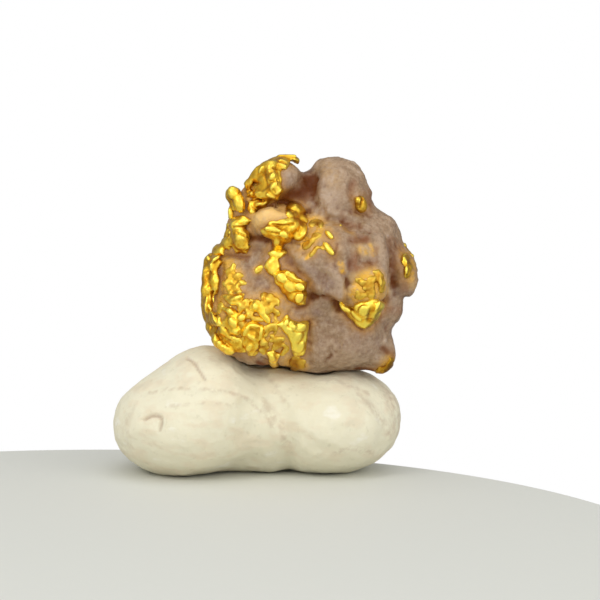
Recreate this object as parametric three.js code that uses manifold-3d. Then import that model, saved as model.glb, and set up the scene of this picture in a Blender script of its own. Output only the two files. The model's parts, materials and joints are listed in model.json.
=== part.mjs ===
// Gold in quartz: a thumbnail specimen of milky quartz with native gold grown in it,
// pressed into a pinch of white mounting putty. Millimetres, +Z up, front towards -Y.
// The origin is the middle of the putty's flat underside.
import * as THREE from 'three';
import { ImprovedNoise } from 'three/addons/math/ImprovedNoise.js';
import { MarchingCubes } from 'three/addons/objects/MarchingCubes.js';
import { mergeVertices } from 'three/addons/utils/BufferGeometryUtils.js';
import Module from 'manifold-3d';

const wasm = await Module();
wasm.setup();

// ---------------------------------------------------------------- driving dimensions, mm
const STANDING = 0.8; // height above the table of the level that all heights below are measured from
const SEAT_GAP = 0.12; // clearance that gold and putty keep to the stone, and putty to gold
const STONE_HEART = new THREE.Vector3(3.0, 0.2, 12.2); // a point that sees the whole of the stone's surface
const STONE_DETAIL = 12; // how finely the icosahedron that wraps the stone is divided
const PUTTY_HEART = new THREE.Vector3(-0.4, 0, 2.6);
const PUTTY_DETAIL = 6;
const LIFT = 0.08; // how far a bead's middle stands off the stone
const THREAD = 0.75; // a thread's share of the lesser bead that it ties
const GOLD_BLEND = 0.25; // width over which beads of gold melt together
const GOLD_ROUGH = 0.1; // height of the gold's own nuggety bumps
const GOLD_ROUGH_SIZE = 0.55;
const GOLD_CELL = 0.39; // side of the cubes that the gold's surface is traced in
const LEAST_DEPTH = 0.02; // nearest that the traced surface comes to a cube's corner
const CUT_DEPTH = 20; // side of the block that trims the putty flat
const SEARCH_REACH = 16; // farthest that any surface lies from its heart
const SEARCH_STEP = 0.08;
const SEARCH_HALVINGS = 18;
const EVENING_ROUNDS = 6; // times that each wrapped facet is evened out against its neighbours
const EVENING = 0.6; // share of the way that a vertex moves to the middle of its neighbours
const SLOPE_STEP = 0.02;
const STONE_SLIVER = 0.05; // facets of stone and putty thinner than this are merged
const GOLD_SLIVER = 0.07;

const MATERIALS = {
  quartz: new THREE.MeshStandardMaterial({ color: 0xa58c74, roughness: 0.5, metalness: 0 }),
  gold: new THREE.MeshStandardMaterial({ color: 0xf0c440, roughness: 0.28, metalness: 1 }),
  putty: new THREE.MeshStandardMaterial({ color: 0xe8e2c9, roughness: 0.75, metalness: 0 }),
};

// ---------------------------------------------------------------- soft-blended lumps
const noise = new ImprovedNoise();

/** Layered noise at a point, about -1 to 1, for bumps of the given size. */
function grain(p, size) {
  const a = noise.noise(p.x / size + 31.7, p.y / size + 11.3, p.z / size + 7.9);
  const b = noise.noise((p.x / size) * 2.1 + 3.1, (p.y / size) * 2.1, (p.z / size) * 2.1 + 17.7);
  return a + 0.5 * b;
}

/** An ellipsoid: its middle, its half sizes, and a turn about the Y axis in degrees. */
function lump(x, y, z, rx, ry, rz, turn = 0) {
  const at = new THREE.Vector3(x, y, z);
  const r = new THREE.Vector3(rx, ry, rz);
  return { at, r, turn: THREE.MathUtils.degToRad(turn) };
}

const _q = new THREE.Vector3();
const UP_Y = new THREE.Vector3(0, 1, 0);
const _line = new THREE.Line3();

/** Distance from a point to a lump's surface, negative inside. */
function toLump(p, l) {
  _q.copy(p).sub(l.at).applyAxisAngle(UP_Y, -l.turn);
  const k0 = Math.hypot(_q.x / l.r.x, _q.y / l.r.y, _q.z / l.r.z);
  const k1 = Math.hypot(_q.x / l.r.x ** 2, _q.y / l.r.y ** 2, _q.z / l.r.z ** 2);
  return k1 < 1e-9 ? -Math.min(l.r.x, l.r.y, l.r.z) : (k0 * (k0 - 1)) / k1;
}

/** Distance from a point to a round thread's surface, negative inside. */
function toThread(p, { from, to, r }) {
  _line.set(from, to).closestPointToPoint(p, true, _q);
  return _q.distanceTo(p) - r;
}

/** The lesser of two distances with the crease between them rounded over k millimetres. */
function softMin(a, b, k) {
  const h = Math.max(k - Math.abs(a - b), 0) / k;
  return Math.min(a, b) - (h * h * k) / 4;
}

/** A surface as a distance function: lumps and threads melted together, hollows scooped out, roughened. */
function surface({ lumps, threads = [], hollows = [], blend, rough = 0, roughSize = 1 }) {
  return (p) => {
    let d = lumps.reduce((near, l) => softMin(near, toLump(p, l), blend), 1e3);
    d = threads.reduce((near, t) => softMin(near, toThread(p, t), blend), d);
    for (const h of hollows) d = -softMin(-d, toLump(p, h), blend);
    return d + rough * grain(p, roughSize);
  };
}

// ---------------------------------------------------------------- meshes and solids
/** How far from the heart a ray that travels in from outside first meets the surface. */
function meet(field, heart, way) {
  const p = new THREE.Vector3();
  const outside = (distance) => field(p.copy(heart).addScaledVector(way, distance)) > 0;
  let near = SEARCH_REACH;
  while (near > SEARCH_STEP && outside(near)) near -= SEARCH_STEP;
  let far = near + SEARCH_STEP;
  for (let i = 0; i < SEARCH_HALVINGS; i++) {
    const middle = (near + far) / 2;
    if (outside(middle)) far = middle;
    else near = middle;
  }
  return near;
}

/** The outward direction of a surface at a point. */
function slope(field, p) {
  const d = new THREE.Vector3();
  const beside = new THREE.Vector3();
  for (const axis of ['x', 'y', 'z']) {
    beside.copy(p)[axis] += SLOPE_STEP;
    const ahead = field(beside);
    beside[axis] -= 2 * SLOPE_STEP;
    d[axis] = ahead - field(beside);
  }
  return d.normalize();
}

/** Moves a point on to the surface along its slope. */
function settle(field, p) {
  for (let i = 0; i < 4; i++) p.addScaledVector(slope(field, p), -0.9 * field(p));
  return p;
}

/** Each vertex's neighbours in an indexed geometry. */
function neighbours(g) {
  const ring = Array.from({ length: g.attributes.position.count }, () => new Set());
  for (let i = 0; i < g.index.count; i += 3) {
    const [a, b, c] = [0, 1, 2].map((k) => g.index.getX(i + k));
    ring[a].add(b).add(c);
    ring[b].add(a).add(c);
    ring[c].add(a).add(b);
  }
  return ring;
}

/** An icosahedral mesh shrunk on to a surface from all round, its facets evened out, then grown outwards. */
function shrinkWrap(field, heart, detail, grow = 0) {
  let g = new THREE.IcosahedronGeometry(1, detail);
  g.deleteAttribute('normal');
  g.deleteAttribute('uv');
  g = mergeVertices(g, 1e-4);
  const pos = g.attributes.position;
  let points = Array.from({ length: pos.count }, (_, i) => {
    const way = new THREE.Vector3().fromBufferAttribute(pos, i).normalize();
    return heart.clone().addScaledVector(way, meet(field, heart, way));
  });
  const ring = neighbours(g);
  for (let round = 0; round < EVENING_ROUNDS; round++) {
    points = points.map((p, i) => {
      const middle = new THREE.Vector3();
      for (const j of ring[i]) middle.add(points[j]);
      return settle(field, p.clone().lerp(middle.divideScalar(ring[i].size), EVENING));
    });
  }
  points.forEach((p, i) => {
    p.addScaledVector(slope(field, p), grow);
    pos.setXYZ(i, p.x, p.y, p.z);
  });
  return g;
}

/** A closed geometry as a manifold-3d solid. */
function solid(geometry) {
  const g = mergeVertices(geometry, 1e-4);
  return new wasm.Manifold(
    new wasm.Mesh({
      numProp: 3,
      vertProperties: new Float32Array(g.attributes.position.array),
      triVerts: new Uint32Array(g.index.array),
    })
  );
}

/** A manifold-3d solid as a geometry, with facets thinner than sliver merged away. */
function geometryOf(made, sliver) {
  const m = made.simplify(sliver).getMesh();
  return new THREE.BufferGeometry()
    .setAttribute('position', new THREE.BufferAttribute(new Float32Array(m.vertProperties), 3))
    .setIndex(new THREE.BufferAttribute(new Uint32Array(m.triVerts), 1));
}

// ---------------------------------------------------------------- the quartz
const stoneSurface = surface({
  blend: 0.55,
  rough: 0.2,
  roughSize: 1.7,
  lumps: [
    lump(3.0, 0.4, 12.2, 5.5, 4.4, 5.2), // heart of the stone
    lump(0.3, -0.1, 10.1, 4.0, 4.2, 3.7), // lower left
    lump(-1.3, 0.2, 11.6, 2.6, 3.3, 3.5), // left wall
    lump(6.0, 0.0, 9.1, 2.6, 3.8, 3.0), // lower right
    lump(4.75, 0.6, 17.0, 2.45, 2.7, 3.35), // bare dome on top
    lump(1.0, -0.6, 18.4, 1.7, 2.0, 1.95), // crest beside the dome
    lump(2.95, 0.8, 17.75, 1.4, 1.6, 1.6), // saddle between the two
    lump(-0.9, 0.1, 15.3, 1.55, 2.4, 2.3), // left shoulder
    lump(-1.5, -0.5, 17.1, 0.7, 1.0, 0.9), // root of the left knob
    lump(-0.95, -0.3, 18.0, 0.65, 0.8, 0.75), // neck from knob to crest
    lump(1.9, -1.5, 18.95, 0.85, 1.0, 0.85), // bare knuckle of the crest
    lump(0.6, -2.9, 16.3, 1.7, 1.3, 0.95, 8), // boulder under the crest
    lump(6.7, 0.3, 14.5, 2.5, 3.1, 2.4), // right shoulder
    lump(9.0, -0.6, 12.55, 1.36, 1.6, 1.8, -8), // right knob
    lump(8.25, -0.6, 10.1, 1.1, 1.8, 0.95), // ledge under the knob
    lump(7.85, -0.8, 7.05, 1.0, 1.5, 1.15, 20), // foot
    lump(4.9, -2.5, 13.6, 3.2, 2.2, 2.6), // overhanging middle of the face
    lump(4.6, -4.1, 12.3, 0.8, 0.8, 1.3, 12), // pale rib beside the wedge
    lump(6.7, -3.6, 12.0, 1.4, 1.4, 1.8), // boss behind the gold wedge
    lump(-0.1, -2.4, 9.5, 3.1, 2.2, 2.9), // lower left of the face
    lump(3.9, -0.2, 7.8, 3.6, 3.2, 1.9), // underside
    lump(1.4, 3.2, 11.2, 3.3, 2.3, 3.3), // back, low
    lump(5.0, 3.0, 14.2, 2.7, 2.2, 2.9, 15), // back, high
    lump(6.6, 2.6, 9.4, 2.0, 2.1, 2.3), // back, right
    lump(-0.6, 3.3, 13.3, 1.2, 1.3, 1.9, -30), // ridge across the back
    lump(2.4, 3.5, 15.7, 1.5, 1.3, 1.2), // knuckle on the back
    lump(8.0, 1.9, 12.6, 1.2, 1.3, 1.6), // right side
  ],
  hollows: [
    lump(2.7, -3.1, 17.35, 1.35, 2.0, 0.8, 12), // dark crevice under the saddle
    lump(-0.8, -4.9, 13.2, 1.4, 1.4, 1.9), // dished quartz left of the vein
    lump(4.6, -6.0, 9.0, 2.4, 2.2, 2.2), // dished face, lower right
    lump(10.2, -0.6, 10.25, 0.95, 2.6, 0.8), // undercut of the knob
    lump(9.3, -0.6, 8.5, 0.65, 2.6, 0.5), // step under the ledge
    lump(3.2, 5.6, 12.9, 0.9, 1.2, 2.4, 25), // cleft in the back
    lump(2.9, 4.2, 17.6, 1.2, 1.6, 1.0), // back of the saddle
    lump(-0.4, 5.4, 10.6, 1.7, 1.5, 1.3), // dished back, lower left
    lump(7.4, 4.6, 11.6, 1.1, 1.6, 0.9, 25), // notch in the back, right
    lump(-4.4, 2.4, 13.4, 1.3, 1.4, 1.5), // dished left wall
  ],
});

/** The point on the stone at this place in front or back elevation; side -1 is the front. */
function onStone(x, z, side = -1) {
  const far = new THREE.Vector3(x, 0, z);
  const way = new THREE.Vector3(0, side, 0);
  return far.addScaledVector(way, meet(stoneSurface, far, way));
}

// ---------------------------------------------------------------- the gold
/** A bead of gold at a place in elevation, its middle lifted off the stone's surface. */
function bead(x, z, rx, ry, rz, turn = 0, { side = -1, lift = LIFT } = {}) {
  const p = onStone(x, z, side);
  return lump(p.x, p.y + side * lift, p.z, rx, ry, rz, turn);
}

/** Beads strung along a curve drawn in elevation; size(t) gives each one's half sizes. */
function string(places, count, size, options) {
  const curve = new THREE.CatmullRomCurve3(places.map(([x, z]) => new THREE.Vector3(x, 0, z)));
  return Array.from({ length: count }, (_, i) => {
    const t = i / (count - 1);
    const p = curve.getPoint(t);
    const way = curve.getTangent(t);
    const turn = -THREE.MathUtils.radToDeg(Math.atan2(way.z, way.x));
    return bead(p.x, p.z, ...size(t), turn, options);
  });
}

/** Beads on an arc of a ring, for a curled lip of gold. */
function curl(x, z, radius, from, to, count, r) {
  return Array.from({ length: count }, (_, i) => {
    const a = THREE.MathUtils.degToRad(from + ((to - from) * i) / (count - 1));
    return bead(x + radius * Math.cos(a), z + radius * Math.sin(a), r, r, r);
  });
}

const EDGE = { lift: 0.05 }; // for beads at the stone's left edge
const BACK = { side: 1 };

/** Every mass of gold, by name, as the beads that melt together in it. */
const GOLD = {
  gold_knob: [lump(-2.0, -0.9, 17.85, 0.6, 0.75, 0.6), lump(-1.65, -1.1, 17.1, 0.5, 0.7, 0.7, 12)],
  gold_crest: [
    bead(1.75, 20.1, 0.85, 0.7, 0.42, 6),
    bead(0.4, 19.85, 0.66, 0.5, 0.42, -25),
    bead(-0.4, 19.3, 0.42, 0.5, 0.6),
    bead(0.6, 19.15, 0.5, 0.4, 0.6),
    bead(0.8, 18.5, 0.45, 0.4, 0.55, 20),
    bead(0.35, 18.0, 0.55, 0.4, 0.35),
    bead(-0.35, 18.0, 0.5, 0.4, 0.34),
    bead(-0.9, 18.5, 0.5, 0.5, 0.55),
  ],
  gold_shoulder: [
    bead(-1.65, 15.95, 0.72, 0.65, 0.5),
    bead(-1.45, 15.2, 0.7, 0.65, 0.58),
    bead(-1.3, 14.55, 0.66, 0.5, 0.34, -8),
    bead(-2.3, 14.75, 0.55, 0.6, 0.5, 30),
  ],
  gold_rim: [
    bead(-3.1, 13.55, 0.4, 0.6, 0.45, -50, EDGE),
    ...string(
      [[-3.55, 13.3], [-3.7, 12.2], [-3.75, 10.8], [-3.65, 9.6], [-3.15, 8.6], [-2.3, 7.9]],
      8,
      (t) => [0.72, 0.7, 0.45 - 0.1 * t],
      EDGE
    ),
  ],
  gold_arch: [
    bead(1.95, 16.95, 0.52, 0.45, 0.46, 20),
    bead(2.4, 16.4, 0.32, 0.4, 0.45, 20),
    bead(2.45, 15.8, 0.36, 0.45, 0.5, -20),
    bead(1.55, 15.65, 0.8, 0.65, 0.58),
    bead(0.9, 15.8, 0.65, 0.55, 0.45),
    bead(0.15, 15.85, 0.52, 0.4, 0.36),
    bead(1.15, 14.95, 0.5, 0.45, 0.45),
  ],
  gold_vein: [
    bead(0.85, 14.35, 0.45, 0.35, 0.28),
    bead(0.6, 13.7, 0.45, 0.42, 0.6, 12),
    bead(1.25, 12.9, 0.78, 0.6, 0.58, 40),
    bead(1.85, 12.2, 0.95, 0.7, 0.68, 40),
    bead(2.35, 11.5, 0.62, 0.65, 0.68, 20),
  ],
  gold_plate: [
    bead(1.25, 9.55, 0.6, 0.34, 0.4, -20),
    bead(1.85, 9.45, 0.6, 0.4, 0.55),
    bead(2.35, 9.2, 0.46, 0.4, 0.7),
    bead(2.3, 8.35, 0.5, 0.4, 0.8),
    bead(1.7, 8.75, 0.55, 0.38, 0.6),
  ],
  gold_curl: [...curl(-0.75, 9.1, 0.5, -30, 230, 6, 0.32), bead(-1.05, 8.1, 0.36, 0.36, 0.5, -25)],
  gold_crust: [
    bead(-2.0, 11.3, 0.75, 0.36, 0.3),
    bead(-2.4, 10.75, 0.38, 0.36, 0.45),
    bead(-1.95, 10.2, 0.55, 0.38, 0.36, 30),
    bead(-1.5, 9.95, 0.42, 0.36, 0.32),
    bead(-2.2, 9.5, 0.5, 0.38, 0.48),
    bead(-2.0, 8.8, 0.52, 0.4, 0.38, 30),
  ],
  gold_patch: [
    bead(-0.3, 10.95, 0.42, 0.34, 0.34),
    bead(0.0, 10.4, 0.34, 0.34, 0.36),
    bead(0.5, 11.35, 0.5, 0.3, 0.34),
  ],
  gold_tooth: [bead(0.6, 7.4, 0.36, 0.38, 0.55, -15)],
  gold_root: [bead(2.1, 7.0, 0.68, 0.6, 0.45)],
  gold_fleck_upper: [bead(4.3, 15.4, 0.56, 0.34, 0.27, 52)],
  gold_fleck_lower: [bead(4.4, 14.55, 0.66, 0.36, 0.28, 52)],
  gold_wedge: [
    bead(5.5, 10.85, 0.52, 0.4, 0.26, 42),
    bead(6.1, 10.35, 0.62, 0.55, 0.42, 42),
    bead(6.65, 10.15, 0.58, 0.7, 0.62),
    bead(7.1, 10.6, 0.7, 0.65, 0.5, -50),
    bead(7.6, 11.3, 0.5, 0.5, 0.55),
    bead(7.25, 12.1, 0.75, 0.42, 0.8),
    bead(6.45, 12.0, 0.6, 0.36, 0.7),
    bead(6.4, 11.0, 0.6, 0.4, 0.5),
  ],
  gold_bead: [bead(6.35, 17.45, 0.4, 0.4, 0.4), bead(6.7, 17.05, 0.4, 0.4, 0.42)],
  gold_strip: [bead(9.45, 13.2, 0.34, 0.4, 0.66, 8)],
  gold_foot: [bead(8.15, 6.55, 0.42, 0.55, 0.66, 35), bead(7.6, 6.05, 0.55, 0.55, 0.36)],
  gold_back_vein: string(
    [[-1.8, 13.0], [-0.7, 14.2], [0.7, 14.1], [1.6, 12.9]],
    6,
    (t) => [0.62, 0.45, 0.4 + 0.2 * Math.sin(9 * t)],
    BACK
  ),
  gold_back_seam: [
    bead(3.1, 10.9, 0.6, 0.45, 0.5, 0, BACK),
    bead(3.9, 10.45, 0.7, 0.45, 0.4, 20, BACK),
    bead(4.35, 11.05, 0.4, 0.4, 0.55, 0, BACK),
  ],
  gold_back_nugget: [bead(5.2, 16.6, 0.6, 0.5, 0.5, 0, BACK), bead(5.9, 16.0, 0.5, 0.45, 0.6, 30, BACK)],
  gold_back_crust: [
    bead(5.9, 8.4, 0.6, 0.4, 0.45, 0, BACK),
    bead(6.7, 8.9, 0.5, 0.4, 0.6, 20, BACK),
    bead(6.5, 7.9, 0.5, 0.4, 0.36, 0, BACK),
  ],
  gold_back_patch: [
    bead(-1.5, 9.6, 0.55, 0.4, 0.6, 0, BACK),
    bead(-0.8, 9.0, 0.5, 0.4, 0.5, 0, BACK),
    bead(-0.3, 9.7, 0.4, 0.35, 0.4, 0, BACK),
  ],
};

/** The mean of a bead's three half sizes. */
const girth = (b) => (b.r.x + b.r.y + b.r.z) / 3;

/** Threads of gold that tie each bead to the nearest one before it. */
function threadsBetween(beads) {
  return beads.slice(1).map((b, i) => {
    const apart = (c) => c.at.distanceTo(b.at);
    const mate = beads.slice(0, i + 1).reduce((best, c) => (apart(c) < apart(best) ? c : best));
    return { from: b.at, to: mate.at, r: THREAD * Math.min(girth(b), girth(mate)) };
  });
}

/** A mass of gold as one solid, its beads melted together, wider all round by grow. */
function massSolid(beads, grow = 0) {
  const field = surface({
    lumps: beads,
    threads: threadsBetween(beads),
    blend: GOLD_BLEND,
    rough: GOLD_ROUGH,
    roughSize: GOLD_ROUGH_SIZE,
  });
  const room = new THREE.Box3();
  for (const b of beads) {
    const reach = Math.max(b.r.x, b.r.y, b.r.z) + GOLD_ROUGH + grow + 3 * GOLD_CELL;
    room.expandByPoint(b.at.clone().addScalar(reach)).expandByPoint(b.at.clone().subScalar(reach));
  }
  const size = room.getSize(new THREE.Vector3());
  const middle = room.getCenter(new THREE.Vector3());
  const cubes = new MarchingCubes(Math.ceil(Math.max(size.x, size.y, size.z) / GOLD_CELL), MATERIALS.gold);
  const half = (cubes.size * GOLD_CELL) / 2;
  const p = new THREE.Vector3();
  for (let z = 0; z < cubes.size; z++)
    for (let y = 0; y < cubes.size; y++)
      for (let x = 0; x < cubes.size; x++) {
        p.set(x, y, z).multiplyScalar(GOLD_CELL).subScalar(half).add(middle);
        const depth = grow - field(p);
        cubes.field[x + cubes.yd * y + cubes.zd * z] = Math.abs(depth) < LEAST_DEPTH ? LEAST_DEPTH : depth;
      }
  cubes.isolation = 0;
  cubes.update();
  const traced = cubes.positionArray.slice(0, 3 * cubes.count);
  const g = new THREE.BufferGeometry().setAttribute('position', new THREE.BufferAttribute(traced, 3));
  return solid(g.scale(half, half, half).translate(...middle));
}

/** The largest body of a solid, so that crumbs left by a cut are dropped. */
function largest(made) {
  return made.decompose().reduce((most, body) => (body.volume() > most.volume() ? body : most));
}

// ---------------------------------------------------------------- the putty
const puttySurface = surface({
  blend: 0.8,
  rough: 0.06,
  roughSize: 3,
  lumps: [
    lump(-4.97, 0, 2.55, 5.4, 5.85, 3.7, -6), // left lobe
    lump(-3.65, 0, 4.0, 4.0, 5.4, 3.6, -12), // its peak
    lump(4.5, 0.1, 2.6, 4.9, 5.1, 3.6), // right lobe
    lump(0.2, 0.6, 3.0, 4.5, 4.6, 3.6), // waist between them
    lump(-0.2, 0.4, 0.7, 4.2, 2.8, 1.7), // the waist's sole, pressed on the table
  ],
});

// ---------------------------------------------------------------- assembly
const stoneSolid = solid(shrinkWrap(stoneSurface, STONE_HEART, STONE_DETAIL));
const stoneRoom = solid(shrinkWrap(stoneSurface, STONE_HEART, STONE_DETAIL, SEAT_GAP));
const goldRoom = wasm.Manifold.union(Object.values(GOLD).map((beads) => massSolid(beads, SEAT_GAP)));
const puttySolid = solid(shrinkWrap(puttySurface, PUTTY_HEART, PUTTY_DETAIL));
const below = new THREE.BoxGeometry(3 * CUT_DEPTH, 3 * CUT_DEPTH, CUT_DEPTH);
below.translate(0, 0, -STANDING - CUT_DEPTH / 2);
below.deleteAttribute('normal');
below.deleteAttribute('uv');

const specimen = new THREE.Group();

/** Adds one named piece to the specimen. */
function add(name, made, material, sliver = STONE_SLIVER) {
  const mesh = new THREE.Mesh(geometryOf(made, sliver), MATERIALS[material]);
  mesh.name = name;
  mesh.position.z = STANDING;
  specimen.add(mesh);
}

add('quartz', stoneSolid, 'quartz');
for (const [name, beads] of Object.entries(GOLD))
  add(name, largest(massSolid(beads).subtract(stoneRoom)), 'gold', GOLD_SLIVER);
add('putty', largest(puttySolid.subtract(solid(below)).subtract(stoneRoom).subtract(goldRoom)), 'putty');

export default specimen;
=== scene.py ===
"""Gold in quartz: milky quartz with native gold grown in it, standing in a pinch of white mounting putty.

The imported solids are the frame. Each is replaced by a finished piece of the same form. Pieces are worked
on a bench at one unit to the millimetre, and shrunk to metres when they are done.
"""

from __future__ import annotations

import json
import logging
import math
import random
from dataclasses import dataclass
from enum import Enum
from typing import Any

import bpy
import numpy as np
from mathutils import Matrix, Vector
from mathutils.bvhtree import BVHTree

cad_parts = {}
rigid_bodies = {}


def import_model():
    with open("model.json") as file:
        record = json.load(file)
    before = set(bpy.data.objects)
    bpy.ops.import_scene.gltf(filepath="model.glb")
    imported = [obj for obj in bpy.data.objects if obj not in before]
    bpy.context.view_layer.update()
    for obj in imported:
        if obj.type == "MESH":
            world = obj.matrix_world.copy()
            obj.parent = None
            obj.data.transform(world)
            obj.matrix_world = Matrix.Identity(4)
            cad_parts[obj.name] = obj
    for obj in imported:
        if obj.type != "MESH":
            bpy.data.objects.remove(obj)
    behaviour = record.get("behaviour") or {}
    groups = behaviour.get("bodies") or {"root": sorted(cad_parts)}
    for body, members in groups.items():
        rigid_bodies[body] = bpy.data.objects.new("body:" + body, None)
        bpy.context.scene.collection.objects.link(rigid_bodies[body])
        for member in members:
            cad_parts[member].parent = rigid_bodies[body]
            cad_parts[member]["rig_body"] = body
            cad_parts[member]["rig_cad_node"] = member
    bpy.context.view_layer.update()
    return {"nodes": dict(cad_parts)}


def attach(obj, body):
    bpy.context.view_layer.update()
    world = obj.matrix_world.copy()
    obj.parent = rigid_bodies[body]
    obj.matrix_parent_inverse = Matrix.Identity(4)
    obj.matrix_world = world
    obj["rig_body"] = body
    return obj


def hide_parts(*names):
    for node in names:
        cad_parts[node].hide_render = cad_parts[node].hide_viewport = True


LOG = logging.getLogger("gold_in_quartz")
MM = 0.001
WELD = 0.001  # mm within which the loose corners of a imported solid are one

Place = tuple[float, float]


class Slot(Enum):
    """The record's material slots."""

    QUARTZ = "quartz"
    GOLD = "gold"
    PUTTY = "putty"


# ---------------------------------------------------------------- laying out
@dataclass(frozen=True)
class Viewpoint:
    """A place that one face of the specimen is laid out from, as a viewer there sees it.

    Attributes:
        azimuth: degrees round the specimen, 0 in front.
        rise: degrees above the level.
        distance: millimetres from the aim.
        aim: the point looked at, in millimetres.
        datum: what the aim's own x and height are called in the layout.
    """

    azimuth: float
    rise: float = 8.0
    distance: float = 250.0
    aim: tuple[float, float, float] = (2.4, 0.0, 11.5)
    datum: Place = (2.4, 11.47)

    @property
    def back(self) -> Vector:
        """The direction from the aim to the eye."""
        turn, rise = math.radians(self.azimuth), math.radians(self.rise)
        level = math.cos(rise)
        return Vector((math.sin(turn) * level, -math.cos(turn) * level, math.sin(rise)))

    @property
    def right(self) -> Vector:
        """The direction that shows as rightwards."""
        turn = math.radians(self.azimuth)
        return Vector((math.cos(turn), math.sin(turn), 0.0))

    @property
    def up(self) -> Vector:
        """The direction that shows as upwards."""
        return self.back.cross(self.right)

    @property
    def eye(self) -> Vector:
        """Where the eye is, in millimetres."""
        return Vector(self.aim) + self.distance * self.back

    def lay(self, points: np.ndarray) -> np.ndarray:
        """Finds where points show in the layout.

        Args:
            points: the points, one to a row.

        Returns:
            Their x and height there, one point to a row.
        """
        way = points - np.array(self.eye)
        scale = self.distance / -(way @ np.array(self.back))
        sheet = np.stack([way @ np.array(self.right), way @ np.array(self.up)], axis=1)
        return sheet * scale[:, None] + np.array(self.datum)

    def facing(self, points: np.ndarray, normals: np.ndarray) -> np.ndarray:
        """Measures how squarely surfaces face the eye, 1 to -1."""
        way = np.array(self.eye) - points
        return np.einsum("ij,ij->i", way, normals) / np.linalg.norm(way, axis=1)

    def spot(self, forms: list[BVHTree], x: float, height: float) -> tuple[Vector, Vector]:
        """Finds a place of the layout on the forms.

        Args:
            forms: the surfaces to find it on, in millimetres.
            x: place to the right.
            height: place upwards.

        Returns:
            The point and the outward normal there. A place that misses the forms is at their nearest edge.
        """
        sheet = Vector(self.aim) + (x - self.datum[0]) * self.right + (height - self.datum[1]) * self.up
        hits = [form.ray_cast(self.eye, (sheet - self.eye).normalized()) for form in forms]
        hits = [hit for hit in hits if hit[0] is not None] or [form.find_nearest(sheet) for form in forms]
        point, normal, _, _ = min(hits, key=lambda hit: hit[3])
        return point, normal

    def axes(self, normal: Vector, turn: float) -> Matrix:
        """Makes a frame that lies on the surface.

        Args:
            normal: the outward normal.
            turn: degrees from rightwards to the frame's first axis, as it shows.

        Returns:
            A matrix whose columns run along, across and out of the surface.
        """
        angle = math.radians(turn)
        shown = math.cos(angle) * self.right + math.sin(angle) * self.up
        along = (shown - shown.dot(normal) * normal).normalized()
        return Matrix((along, normal.cross(along), normal)).transposed()


FRONT = Viewpoint(azimuth=0.0)
BACK = Viewpoint(azimuth=180.0, datum=(-2.4, 11.47))
LEFT = Viewpoint(azimuth=270.0, datum=(0.0, 11.47))
RIGHT = Viewpoint(azimuth=90.0, datum=(0.0, 11.47))


@dataclass(frozen=True)
class Stroke:
    """One stroke of a modelling tool or a brush.

    Attributes:
        path: places that it passes through, in the layout.
        width: its half width, in millimetres.
        depth: how far it raises the surface, in millimetres, or how strongly it colours it, where 1 is full.
        through: whether it goes through the whole piece and so shapes its outline too.
    """

    path: tuple[Place, ...]
    width: float
    depth: float
    through: bool = False


@dataclass(frozen=True)
class Bead:
    """A rounded lump of gold.

    Attributes:
        x: its place in the layout.
        height: its place in the layout.
        along: half its length, in millimetres.
        across: half its width.
        out: half its thickness, square to the surface.
        turn: degrees from rightwards to its length.
        lift: how far its middle stands off the surface.
    """

    x: float
    height: float
    along: float
    across: float
    out: float
    turn: float = 0.0
    lift: float = 0.0


@dataclass(frozen=True)
class Sheet:
    """A patch of gold that lies on the surface.

    Attributes:
        outline: the corners of its outline in the layout.
        rise: how far it stands proud, in millimetres.
    """

    outline: tuple[Place, ...]
    rise: float

    def inside(self, places: np.ndarray) -> np.ndarray:
        """Measures how far inside the outline places are.

        Args:
            places: the places, one to a row.

        Returns:
            Each place's distance from the outline in millimetres, negative outside.
        """
        corners = np.array(self.outline)
        odd = np.zeros(len(places), dtype=bool)
        for start, end in zip(corners, np.roll(corners, -1, axis=0)):
            level = (start[1] > places[:, 1]) != (end[1] > places[:, 1])
            reach = start[0] + (places[:, 1] - start[1]) * (end[0] - start[0]) / (end[1] - start[1] or 1.0)
            odd ^= level & (places[:, 0] < reach)
        least = distance_to_path(places, np.vstack((corners, corners[:1])))
        return np.where(odd, least, -least)


@dataclass(frozen=True)
class Dab:
    """A small rounded patch of gold on the surface, or a window of bare stone in a larger one.

    Attributes:
        x: its place in the layout.
        height: its place in the layout.
        along: half its length, in millimetres.
        across: half its width.
        turn: degrees from rightwards to its length.
        rise: how far it stands proud, in millimetres.
    """

    x: float
    height: float
    along: float
    across: float
    turn: float = 0.0
    rise: float = 0.16

    def inside(self, places: np.ndarray) -> np.ndarray:
        """Measures how far inside the dab places are.

        Args:
            places: the places, one to a row.

        Returns:
            Each place's distance from its edge in millimetres, negative outside.
        """
        angle = math.radians(self.turn)
        way = places - np.array((self.x, self.height))
        local = way @ np.array(((math.cos(angle), -math.sin(angle)), (math.sin(angle), math.cos(angle))))
        return self.across * (1.0 - np.hypot(local[:, 0] / self.along, local[:, 1] / self.across))


LEAST_GRAIN = 0.06  # mm, half size of the smallest grain of gold


def sprinkle(
    x: float, height: float, along: float, across: float, count: int, seed: int, most: float
) -> tuple[Dab, ...]:
    """Scatters small grains of gold, thickest at the middle.

    Args:
        x: the field's middle in the layout.
        height: the field's middle in the layout.
        along: half the field's length, in millimetres.
        across: half its height.
        count: how many grains.
        seed: start of the random places.
        most: half size of the largest grain.

    Returns:
        The grains.
    """
    draw = random.Random(seed)
    made = []
    for _ in range(count):
        size = draw.uniform(LEAST_GRAIN, most)
        place = (x + along * draw.gauss(0.0, 0.5), height + across * draw.gauss(0.0, 0.5))
        made.append(Dab(*place, size * draw.uniform(1.0, 1.9), size, draw.uniform(0.0, 180.0), size))
    return tuple(made)


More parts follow.
